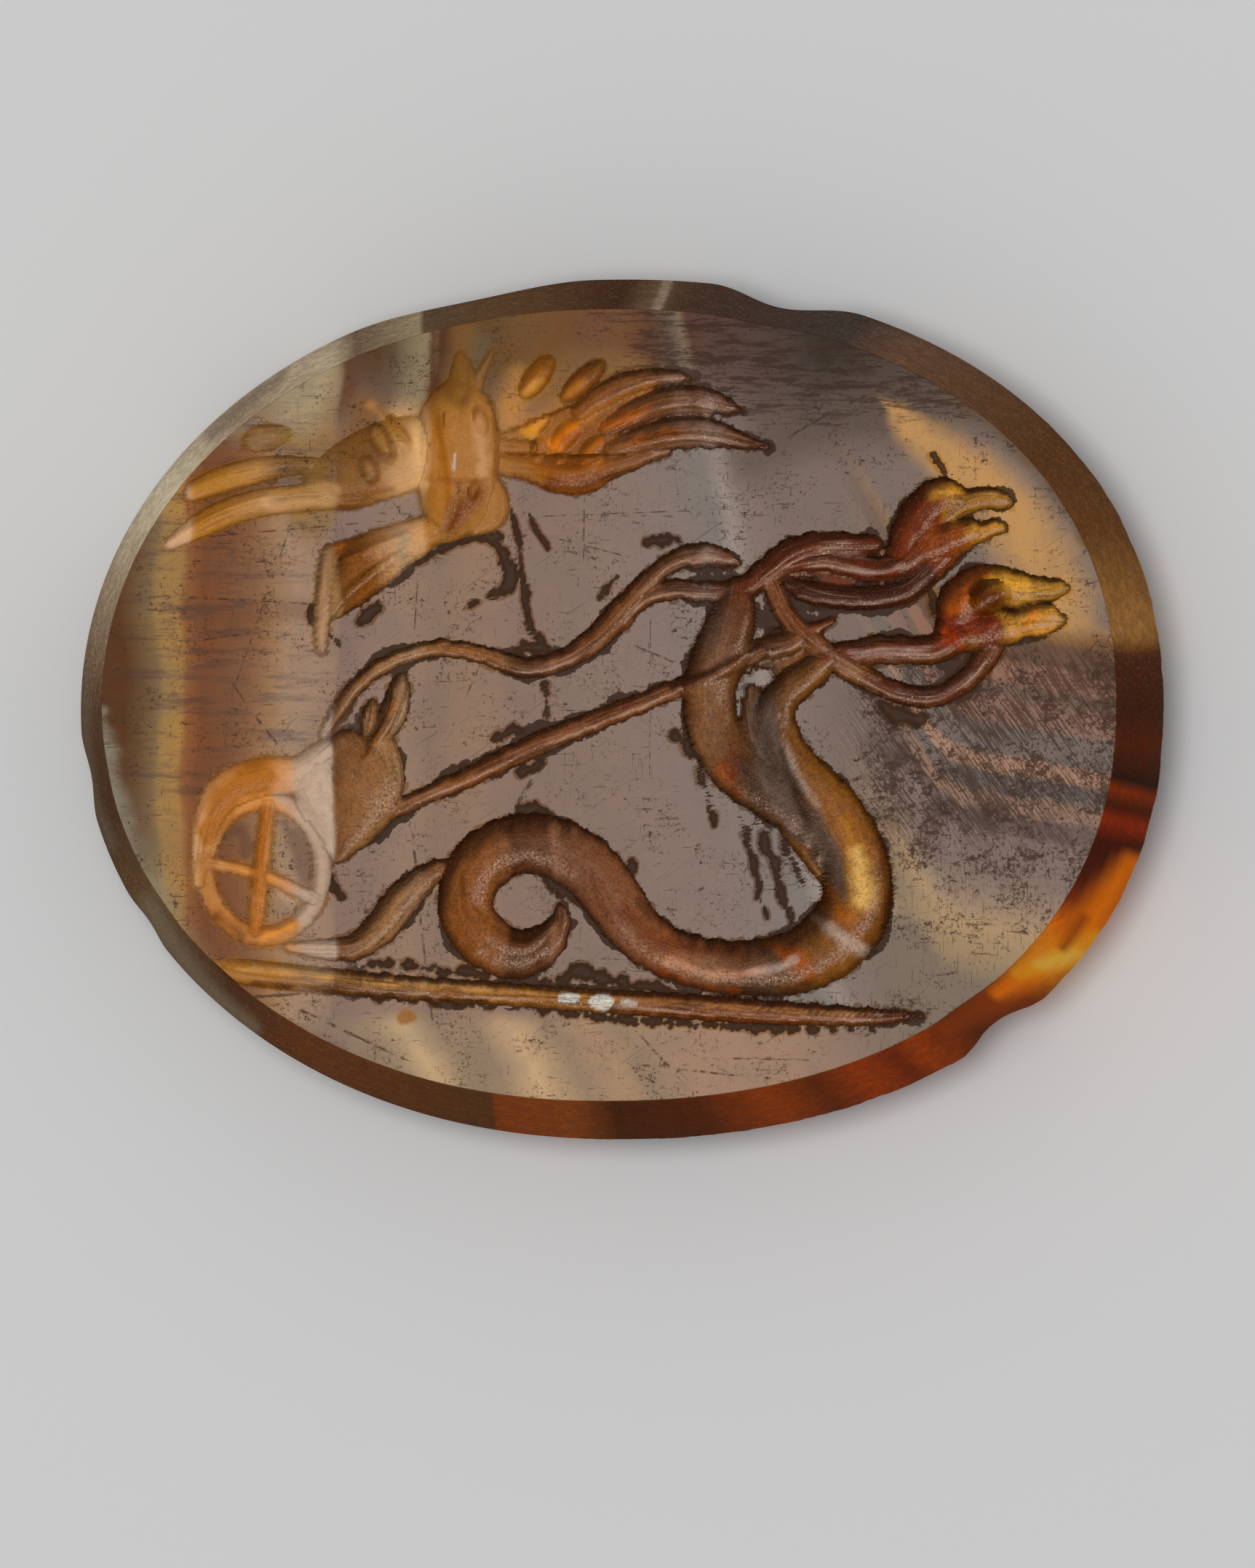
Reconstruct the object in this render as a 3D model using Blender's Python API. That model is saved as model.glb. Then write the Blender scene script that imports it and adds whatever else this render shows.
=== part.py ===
"""Oval ringstone of banded agate, carved in intaglio.

The stone lies on its flat back with the carved face up. X runs along its length, Y across it and
Z up, and the origin is at the middle of its back. A chariot is drawn to the right by two serpents,
and a bird with spread wings flies over it. Every figure is a set of grooves and pits sunk into the
polished face, as a gem cutter's wheel leaves them.

Run it with: blender --background --python part.py
"""

import math

import bmesh
import bpy
from mathutils import Matrix

# The stone, in metres.
LENGTH = 0.0130
WIDTH = 0.0103
THICKNESS = 0.0026
GIRDLE_HEIGHT = 0.0009
GIRDLE_BAND = 0.0003
FACE_BEVEL = 0.00044
BACK_BEVEL = 0.00026

# The outline is fuller than an ellipse, and fuller at its right end than at its left.
FULLNESS_RIGHT = 2.2
FULLNESS_LEFT = 2.05
OUTLINE_SEGMENTS = 96

# Old chips and worn flats on the girdle: bearing and half span in degrees, depth in metres. They
# fade towards the face and the back, which keep the shares of their depth given here.
CHIP_SHARE_AT_FACE = 0.15
CHIP_SHARE_AT_BACK = 0.6
CHIPS = (
    (68.0, 10.0, 0.00017),
    (110.0, 17.0, 0.00008),
    (187.0, 5.0, 0.00006),
    (204.0, 4.0, 0.00004),
    (320.0, 6.0, 0.00015),
)

# The carving is drawn on a field of 130 by 103 units that is stretched over the stone, so one unit
# is a tenth of a millimetre. A stroke is a list of (along, across, half width).
FIELD_LENGTH = 130.0
FIELD_WIDTH = 103.0

# The middle of the carved scene, from the middle of the stone, in metres.
CARVING_ALONG = 0.00016
CARVING_ACROSS = -0.00005

# A groove's depth and a pit's depth, as shares of their half width.
GROOVE_DEPTH = 0.72
BASIN_DEPTH = 0.5
PIT_DEPTH = 0.8

# The grooves' axes run this far above the face, as a share of their half width.
AXIS_LIFT = 0.06

STROKE_STEPS = 3
STROKE_PROFILE_STEPS = 2
PIT_SEGMENTS = 12
PIT_RINGS = 6
RIM_SEGMENTS = 32
RIM_SIDES = 8

GROUND = {
    "ground_line": [(-48.7, -30.2, 0.5), (-45.0, -31.2, 1.55), (-30.0, -32.8, 1.5),
                    (-10.0, -34.2, 1.4), (10.0, -35.6, 1.55), (22.0, -36.4, 1.35),
                    (30.0, -36.7, 1.05), (35.8, -36.5, 0.3)],
}

CHARIOT = {
    "upright_spoke": [(-42.3, -11.5, 0.9), (-43.1, -18.7, 1.0), (-43.8, -26.0, 0.9)],
    "level_spoke": [(-49.5, -18.2, 0.8), (-43.5, -19.5, 0.8), (-37.0, -22.4, 0.9)],
    "rail": [(-33.3, -7.3, 0.3), (-30.5, -5.2, 1.0), (-28.4, -2.4, 1.5), (-27.0, 0.4, 1.6),
             (-26.6, 2.3, 1.35), (-26.6, 3.9, 0.6)],
    "rail_knob": [(-29.9, 0.8, 0.6), (-30.2, -1.0, 1.0), (-30.5, -2.8, 0.7)],
    "strut": [(-40.0, -28.2, 0.6), (-36.0, -28.5, 1.2), (-31.8, -28.2, 1.6),
              (-28.6, -25.7, 2.05), (-26.4, -22.8, 2.1), (-23.8, -20.3, 1.7),
              (-20.6, -18.4, 0.9)],
}

CHARIOT_BODY = {
    "mudguard": [(-50.6, -20.5, 0.8), (-49.9, -14.2, 1.5), (-47.6, -9.8, 2.2),
                 (-43.0, -7.9, 2.3), (-38.5, -7.6, 2.2), (-35.2, -5.2, 1.8)],
    "car_back": [(-36.0, -5.5, 1.6), (-36.5, -9.5, 2.8), (-34.6, -13.5, 2.2),
                 (-34.0, -17.6, 0.8)],
    "car_front": [(-32.9, -4.2, 2.0), (-31.3, -8.0, 4.0), (-30.6, -11.0, 3.8),
                  (-32.6, -15.0, 2.2), (-33.8, -17.6, 0.8)],
    "car_breast": [(-28.6, -4.8, 2.0), (-27.9, -8.6, 2.1), (-28.6, -11.5, 1.6)],
}

# The wheel's rim: centre, half length, half height and half width of its groove.
WHEEL_CENTRE = (-42.8, -18.8)
WHEEL_HALF_LENGTH = 7.0
WHEEL_HALF_HEIGHT = 8.15
WHEEL_RIM = 1.05

SERPENT_WALL = {
    "serpent_wall": [(15.6, 2.2, 1.2), (16.0, -3.0, 2.0), (18.8, -10.0, 2.4),
                     (23.6, -17.5, 2.0), (25.0, -20.5, 1.0)],
}

HARNESS = {
    "rein": [(-35.6, -3.0, 0.5), (-34.2, -0.6, 0.9), (-31.9, 2.6, 1.0), (-28.0, 5.6, 1.0),
             (-22.0, 7.3, 1.05), (-16.5, 6.5, 1.1), (-11.5, 5.0, 1.3), (-7.0, 5.9, 1.3),
             (-3.3, 8.2, 1.5), (-0.3, 11.3, 1.6), (2.6, 14.6, 1.3), (5.6, 17.2, 1.2),
             (9.3, 18.3, 1.5), (12.3, 17.9, 1.15), (14.3, 17.1, 0.2)],
    "rein_branch": [(-0.5, 10.2, 1.3), (2.4, 13.0, 1.2), (6.0, 14.2, 1.25),
                    (13.5, 14.2, 1.25), (17.0, 16.0, 1.3)],
    "pole": [(-29.5, -13.0, 1.2), (-24.5, -10.7, 1.1), (-12.0, -5.0, 1.4), (1.0, 0.2, 1.25),
             (10.5, 3.9, 0.75), (13.8, 5.4, 0.85), (16.5, 7.0, 1.4), (19.5, 7.6, 1.6),
             (22.0, 9.0, 1.2), (25.3, 10.5, 0.4)],
}

SERPENTS = {
    "front_serpent": [(-7.3, -23.8, 0.6), (-8.2, -27.0, 2.0), (-12.2, -29.2, 2.9),
                      (-17.4, -26.3, 3.3), (-17.6, -19.3, 3.55), (-12.0, -16.1, 3.65),
                      (-4.7, -18.3, 3.65), (1.0, -25.4, 3.3), (8.0, -29.8, 3.1),
                      (16.5, -30.8, 3.4), (25.2, -27.7, 4.25), (28.2, -21.0, 4.2),
                      (25.8, -13.4, 3.6), (20.2, -6.2, 2.75), (18.3, -0.5, 2.5),
                      (20.6, 2.8, 2.1), (24.6, 5.8, 1.7)],
    "rear_serpent": [(13.8, 14.2, 1.6), (13.3, 11.0, 2.7), (12.3, 7.5, 3.3), (10.9, 4.0, 3.3),
                     (10.4, 1.0, 3.2), (12.6, -5.6, 3.2), (18.6, -10.7, 3.0),
                     (24.8, -16.4, 2.6)],
}

NECKS = {
    "strap": [(17.5, 15.8, 1.0), (18.4, 13.8, 1.3), (21.2, 9.2, 1.3), (27.5, 4.6, 1.5),
              (34.0, 1.6, 1.3), (39.3, 2.1, 1.3), (43.6, 6.2, 1.5), (45.2, 8.8, 1.2)],
    "upper_neck_crest": [(15.6, 14.8, 1.5), (20.0, 18.3, 1.8), (24.5, 19.4, 1.7),
                         (30.0, 19.4, 1.2)],
    "upper_neck": [(18.2, 16.2, 1.2), (24.5, 17.6, 1.5), (28.0, 16.9, 1.6), (31.5, 16.6, 1.6),
                   (34.6, 17.8, 2.0), (36.5, 20.5, 2.2)],
    "upper_neck_loop": [(20.2, 14.8, 1.0), (22.5, 13.8, 1.4), (28.5, 13.1, 1.45),
                        (34.0, 14.0, 1.5), (36.8, 16.2, 1.5), (39.5, 18.8, 1.3)],
    "lower_neck": [(25.0, 6.7, 1.0), (27.5, 6.6, 1.5), (31.0, 7.0, 1.8), (37.5, 7.0, 1.8),
                   (39.8, 8.4, 2.0)],
}

HEADS = {
    "upper_skull": [(33.8, 19.2, 1.9), (34.7, 21.4, 2.3), (36.2, 23.4, 2.4), (38.9, 25.2, 2.1)],
    "upper_cheek": [(36.0, 18.6, 1.9), (38.3, 20.2, 2.1), (40.4, 21.0, 1.8)],
    "upper_bill": [(38.8, 24.3, 2.2), (41.2, 24.1, 1.7), (45.2, 24.7, 1.1), (46.2, 24.5, 0.5)],
    "upper_jaw": [(39.8, 20.6, 1.8), (42.2, 20.7, 1.35), (45.5, 21.3, 0.5)],
    "lower_skull": [(39.5, 9.8, 2.2), (40.8, 12.5, 3.0), (42.6, 14.0, 3.2), (44.6, 14.6, 2.4)],
    "lower_bill": [(44.4, 14.4, 2.4), (47.2, 14.0, 1.65), (52.2, 14.2, 0.75), (53.4, 14.1, 0.2)],
    "lower_throat": [(40.5, 8.6, 2.1), (43.5, 9.3, 2.4), (46.5, 9.6, 1.9)],
    "lower_jaw": [(46.0, 9.8, 1.9), (48.6, 10.0, 1.5), (52.3, 10.6, 0.7)],
}

BIRD_BODY = {
    "body": [(-18.6, 37.4, 1.8), (-18.7, 34.0, 4.1), (-18.7, 30.2, 4.7), (-19.4, 26.2, 4.3),
             (-20.4, 23.2, 3.0), (-21.0, 21.2, 1.4)],
    "head": [(-18.6, 37.3, 2.6), (-18.8, 39.5, 2.1), (-18.2, 41.5, 1.5), (-16.4, 42.6, 0.6)],
    "tail_fan": [(-22.5, 21.5, 1.5), (-26.5, 19.6, 2.5), (-30.5, 17.6, 3.6),
                 (-33.2, 15.0, 2.6), (-34.6, 12.8, 1.2)],
}

BIRD_FEATHERS = {
    "thigh": [(-15.2, 27.0, 0.9), (-15.1, 24.8, 1.45), (-15.8, 22.4, 1.2), (-17.2, 20.9, 0.5)],
    "shoulder": [(-24.4, 37.0, 0.7), (-24.2, 33.8, 1.3), (-24.2, 30.6, 1.3),
                 (-23.6, 27.6, 1.2)],
    "tail_spur": [(-34.8, 18.8, 1.1), (-35.2, 15.0, 1.4), (-35.9, 9.5, 0.95),
                  (-35.9, 6.6, 0.3)],
    "left_feather_top": [(-45.0, 32.0, 1.2), (-41.5, 32.5, 1.3), (-37.5, 33.0, 1.1)],
    "left_feather_upper": [(-51.2, 26.0, 1.0), (-48.5, 26.9, 1.55), (-41.0, 28.7, 1.6),
                           (-32.0, 28.8, 0.9)],
    "left_feather_lower": [(-54.4, 19.6, 0.6), (-52.8, 20.7, 1.3), (-46.5, 23.8, 1.7),
                           (-36.5, 25.1, 1.7), (-26.8, 25.0, 0.8)],
    "left_shoulder": [(-33.0, 35.5, 1.2), (-31.5, 32.0, 1.8), (-30.0, 28.5, 1.6)],
    "right_lobe": [(-13.8, 29.2, 1.5), (-10.5, 28.7, 1.7), (-6.0, 28.0, 2.4),
                   (-1.5, 28.9, 1.6), (5.5, 30.8, 0.6)],
    "right_feather_top": [(-4.9, 35.6, 1.1), (0.3, 38.6, 1.5), (6.5, 39.5, 0.8),
                          (8.7, 39.3, 0.2)],
    "right_feather_middle": [(-1.6, 33.4, 1.0), (1.0, 34.8, 1.5), (8.0, 36.9, 1.7),
                             (13.2, 35.8, 0.8), (14.6, 35.3, 0.1)],
    "right_feather_lower": [(-1.2, 30.8, 1.0), (1.8, 31.8, 1.5), (9.0, 32.9, 1.9),
                            (15.2, 31.6, 0.8), (18.0, 31.1, 0.1)],
    "wing_link": [(-14.2, 31.3, 0.9), (-10.8, 31.2, 0.8)],
}

# Pits made with a round-ended drill: (along, across, half length, half width, turn in degrees).
PITS = {
    "covert_pit_1": (-10.1, 39.6, 3.2, 1.3, 53.0),
    "covert_pit_2": (-4.5, 39.1, 3.6, 1.35, 43.0),
    "covert_pit_3": (-10.0, 34.1, 2.1, 1.1, 45.0),
    "covert_pit_4": (-10.0, 31.2, 1.4, 0.95, 80.0),
    "covert_pit_5": (-6.5, 32.6, 2.4, 1.25, 48.0),
    "covert_pit_6": (-3.5, 31.0, 2.2, 1.2, 48.0),
    "left_pit_1": (-28.8, 31.8, 2.3, 1.1, -60.0),
    "left_pit_2": (-28.0, 34.4, 2.6, 0.7, -50.0),
}


def clear_scene():
    """Removes every object that the file starts with."""
    for item in list(bpy.data.objects):
        bpy.data.objects.remove(item, do_unlink=True)


def new_collection(name):
    """Adds a collection to the scene and returns it."""
    collection = bpy.data.collections.new(name)
    bpy.context.scene.collection.children.link(collection)
    return collection


def new_object(name, bm, collection):
    """Turns a bmesh into an object in a collection."""
    mesh = bpy.data.meshes.new(name)
    bm.to_mesh(mesh)
    bm.free()
    item = bpy.data.objects.new(name, mesh)
    collection.objects.link(item)
    return item


def field_scale():
    """Gives the metres per carving unit, along and across the stone."""
    return LENGTH / FIELD_LENGTH, WIDTH / FIELD_WIDTH


def outline_point(angle, inset, chip_share):
    """Gives the outline's point at an angle in radians, moved in, with a share of the chips."""
    right = 0.5 * (1.0 + math.cos(angle))
    fullness = FULLNESS_LEFT + (FULLNESS_RIGHT - FULLNESS_LEFT) * right
    across = abs(math.cos(angle)) / (LENGTH / 2.0)
    upward = abs(math.sin(angle)) / (WIDTH / 2.0)
    radius = (across ** fullness + upward ** fullness) ** (-1.0 / fullness)
    for bearing, half_span, depth in CHIPS:
        offset = (math.degrees(angle) - bearing + 180.0) % 360.0 - 180.0
        if abs(offset) < half_span:
            radius -= chip_share * depth * math.cos(0.5 * math.pi * offset / half_span) ** 2
    radius -= inset
    return radius * math.cos(angle), radius * math.sin(angle)


def agate_material():
    """Makes the polished agate of the stone."""
    material = bpy.data.materials.new("banded_agate")
    material.use_nodes = True
    shader = material.node_tree.nodes["Principled BSDF"]
    shader.inputs["Base Color"].default_value = (0.30, 0.17, 0.10, 1.0)
    shader.inputs["Roughness"].default_value = 0.28
    shader.inputs["Metallic"].default_value = 0.0
    return material


def make_stone(collection):
    """Makes the blank stone: back, lower bevel, girdle, sloping rim and flat face."""
    levels = (
        (0.0, BACK_BEVEL, CHIP_SHARE_AT_BACK),
        (GIRDLE_HEIGHT - GIRDLE_BAND / 2.0, 0.0, 1.0),
        (GIRDLE_HEIGHT + GIRDLE_BAND / 2.0, 0.0, 1.0),
        (THICKNESS, FACE_BEVEL, CHIP_SHARE_AT_FACE),
    )
    bm = bmesh.new()
    circle = bmesh.ops.create_circle(bm, cap_ends=False, segments=OUTLINE_SEGMENTS, radius=1.0)
    ring = circle["verts"]
    angles = [math.atan2(vert.co.y, vert.co.x) for vert in ring]
    edges = list(bm.edges)
    for index, (height, inset, chip_share) in enumerate(levels):
        if index:
            grown = bmesh.ops.extrude_edge_only(bm, edges=edges)["geom"]
            edges = [part for part in grown if isinstance(part, bmesh.types.BMEdge)]
            ring = [part for part in grown if isinstance(part, bmesh.types.BMVert)]
            angles = [math.atan2(vert.co.y, vert.co.x) for vert in ring]
        for vert, angle in zip(ring, angles):
            x, y = outline_point(angle, inset, chip_share)
            vert.co = (x, y, height)
    bmesh.ops.holes_fill(bm, edges=bm.edges, sides=OUTLINE_SEGMENTS)
    bmesh.ops.recalc_face_normals(bm, faces=bm.faces)
    stone = new_object("ringstone", bm, collection)
    stone.data.materials.append(agate_material())
    return stone


def sink(item, depth_share, lift):
    """Flattens a cutter to its depth, lifts it and sets it in its place on the face."""
    item.data.transform(Matrix.Diagonal((1.0, 1.0, depth_share, 1.0)))
    place = (CARVING_ALONG, CARVING_ACROSS, THICKNESS + lift)
    item.data.transform(Matrix.Translation(place))


def stroke_cutter(name, points, depth_share, collection):
    """Makes a groove's cutter: a tube of changing width along a smooth curve."""
    along, across = field_scale()
    curve = bpy.data.curves.new(name, "CURVE")
    curve.dimensions = "3D"
    curve.resolution_u = STROKE_STEPS
    curve.bevel_depth = min(along, across)
    curve.bevel_resolution = STROKE_PROFILE_STEPS
    curve.use_fill_caps = True
    spline = curve.splines.new("BEZIER")
    spline.bezier_points.add(len(points) - 1)
    for knot, (x, y, half_width) in zip(spline.bezier_points, points):
        knot.co = (x * along, y * across, 0.0)
        knot.radius = half_width
        knot.handle_left_type = "AUTO"
        knot.handle_right_type = "AUTO"
    wire = bpy.data.objects.new(name, curve)
    collection.objects.link(wire)
    view = bpy.context.evaluated_depsgraph_get()
    mesh = bpy.data.meshes.new_from_object(wire.evaluated_get(view))
    bpy.data.objects.remove(wire, do_unlink=True)
    bm = bmesh.new()
    bm.from_mesh(mesh)
    bmesh.ops.remove_doubles(bm, verts=bm.verts, dist=1e-8)
    bmesh.ops.recalc_face_normals(bm, faces=bm.faces)
    cutter = new_object(name, bm, collection)
    mean_width = sum(point[2] for point in points) / len(points)
    sink(cutter, depth_share, AXIS_LIFT * mean_width * min(along, across))
    return cutter


def pit_cutter(name, pit, collection):
    """Makes a drilled pit's cutter: a long ball, turned on the face."""
    x, y, half_length, half_width, turn = pit
    along, across = field_scale()
    unit = min(along, across)
    bm = bmesh.new()
    bmesh.ops.create_uvsphere(bm, u_segments=PIT_SEGMENTS, v_segments=PIT_RINGS, radius=unit)
    cutter = new_object(name, bm, collection)
    shape = Matrix.Diagonal((half_length, half_width, half_width, 1.0))
    cutter.data.transform(Matrix.Rotation(math.radians(turn), 4, "Z") @ shape)
    cutter.data.transform(Matrix.Translation((x * along, y * across, 0.0)))
    sink(cutter, PIT_DEPTH, AXIS_LIFT * half_width * unit)
    return cutter


def rim_cutter(name, collection):
    """Makes the cutter of the wheel's rim: a ring drawn out to an oval."""
    along, across = field_scale()
    bpy.ops.mesh.primitive_torus_add(
        major_segments=RIM_SEGMENTS,
        minor_segments=RIM_SIDES,
        major_radius=1.0,
        minor_radius=WHEEL_RIM / WHEEL_HALF_HEIGHT,
    )
    made = bpy.context.active_object
    cutter = bpy.data.objects.new(name, made.data)
    collection.objects.link(cutter)
    bpy.data.objects.remove(made, do_unlink=True)
    half_height = WHEEL_HALF_HEIGHT * across
    cutter.data.transform(Matrix.Diagonal((WHEEL_HALF_LENGTH * along, half_height, half_height, 1.0)))
    x, y = WHEEL_CENTRE
    cutter.data.transform(Matrix.Translation((x * along, y * across, 0.0)))
    sink(cutter, GROOVE_DEPTH, AXIS_LIFT * WHEEL_RIM * across)
    return cutter


def cut(stone, cutter):
    """Sinks a cutter into the stone and hides the cutter."""
    cutter.hide_render = True
    cutter.display_type = "WIRE"
    step = stone.modifiers.new(cutter.name, "BOOLEAN")
    step.operation = "DIFFERENCE"
    step.solver = "EXACT"
    step.object = cutter


def carving_cutters(collection):
    """Makes every cutter, those of the broad hollows first and of the fine strokes last."""
    cutters = []
    for figure in (CHARIOT_BODY, BIRD_BODY, SERPENT_WALL):
        for name, points in figure.items():
            cutters.append(stroke_cutter(name, points, BASIN_DEPTH, collection))
    cutters.append(rim_cutter("wheel_rim", collection))
    for figure in (GROUND, CHARIOT, SERPENTS, HARNESS, NECKS, HEADS, BIRD_FEATHERS):
        for name, points in figure.items():
            cutters.append(stroke_cutter(name, points, GROOVE_DEPTH, collection))
    for name, pit in PITS.items():
        cutters.append(pit_cutter(name, pit, collection))
    return cutters


def main():
    """Builds the blank stone and carves it."""
    clear_scene()
    parts = new_collection("intaglio_ringstone")
    cutters = new_collection("cutters")
    carving = carving_cutters(cutters)
    stone = make_stone(parts)
    for cutter in carving:
        cut(stone, cutter)


main()
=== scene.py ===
"""The looks of an oval ringstone of banded agate, carved in intaglio.

One piece, the carved stone, stands for the plain solid of the frame. Its face is a fine sheet that
is sunk along the cutter's strokes; its rim, girdle and back are drawn down from the sheet's edge.
The finish follows the stone's bands, the polish, the cuts, the chips and the scratches, and holds
painted shade and highlights in the cuts and a painted glow on the rim.

Places and half widths in the tables of strokes and glazes are tenths of a millimetre, as on the
carver's drawing, in the plane of the face; the finish reads millimetres. Colours, strengths and
softnesses in the tables are hundredths.
"""

from __future__ import annotations

import logging
import math
from collections.abc import Iterable
from dataclasses import dataclass, field
from enum import Enum

import bmesh
import bpy
import numpy as np
from mathutils import Matrix, Vector

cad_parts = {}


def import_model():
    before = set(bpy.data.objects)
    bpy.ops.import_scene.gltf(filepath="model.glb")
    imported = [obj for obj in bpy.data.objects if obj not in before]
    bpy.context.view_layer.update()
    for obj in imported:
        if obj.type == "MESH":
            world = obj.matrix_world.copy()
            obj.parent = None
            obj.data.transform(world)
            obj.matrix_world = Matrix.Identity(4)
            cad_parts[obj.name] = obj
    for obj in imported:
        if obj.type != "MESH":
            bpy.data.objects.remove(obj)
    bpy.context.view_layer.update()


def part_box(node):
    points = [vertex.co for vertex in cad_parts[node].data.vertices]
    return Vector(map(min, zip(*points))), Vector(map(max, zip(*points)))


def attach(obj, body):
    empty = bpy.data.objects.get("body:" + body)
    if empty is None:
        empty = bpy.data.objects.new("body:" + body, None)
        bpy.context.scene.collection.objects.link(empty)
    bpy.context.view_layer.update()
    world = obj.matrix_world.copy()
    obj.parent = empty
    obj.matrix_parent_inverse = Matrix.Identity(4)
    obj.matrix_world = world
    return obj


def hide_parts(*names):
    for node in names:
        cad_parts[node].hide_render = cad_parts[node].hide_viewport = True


LOG = logging.getLogger("ringstone")

NODE = "ringstone"
SLOT = "banded_agate"

UNIT = 0.0001
MM = 0.001

Point = tuple[float, float, float]
Colour = tuple[float, float, float]
Linear = tuple[float, float, float, float]
Bands = tuple[tuple[float, float, float, float], ...]


class Cut(Enum):
    """How a stroke was cut: its depth as a share of its half width, and its cross section's power."""

    GROOVE = (0.72, 0.52)
    BASIN = (0.50, 0.60)
    SCORE = (0.40, 1.00)
    PIT = (0.80, 0.60)
    FLOOR_PIT = (0.80, 0.50)

    def depth(self, width: np.ndarray | float, way: np.ndarray) -> np.ndarray:
        """Gives how deep the cut is at some places.

        Args:
            width: Its half width there.
            way: The share of the way from its middle to its edge.

        Returns:
            The depth, 0 outside.
        """
        share, power = self.value
        return share * width * (1.0 - np.clip(way, 0.0, 1.0) ** 2) ** power


@dataclass(frozen=True)
class Stroke:
    """One pass of the cutter's wheel along a smooth line.

    Attributes:
        name: What the stroke draws.
        knots: Points of the line, each with its half width, in tenths of a millimetre.
        cut: How deep and how round the groove is.
    """

    name: str
    knots: tuple[Point, ...]
    cut: Cut = Cut.GROOVE


def stroke_table(cut: Cut, *rows: tuple) -> tuple[Stroke, ...]:
    """Reads a table of strokes.

    Args:
        cut: How they are cut.
        *rows: Each stroke's name, its own cut where that differs, and its knots.

    Returns:
        The strokes.
    """
    made = []
    for name, *knots in rows:
        own = knots.pop(0) if isinstance(knots[0], Cut) else cut
        made.append(Stroke(name, tuple(knots), own))
    return tuple(made)


class Surface(Enum):
    """A kind of surface: the light that falls on it, and the veil of light that its coat may add."""

    FACE = (0.80, 0.096)
    CUT = (0.66, 0.012)
    RIM = (0.56, 0.008)


@dataclass(frozen=True)
class Oval:
    """An oval on the face: middle, half length, half width and turn in degrees."""

    x: float
    y: float
    half_length: float
    half_width: float
    turn: float = 0.0


WHEEL = Oval(-42.8, -18.8, 7.0, 8.15)
WHEEL_RIM = 1.05

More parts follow.
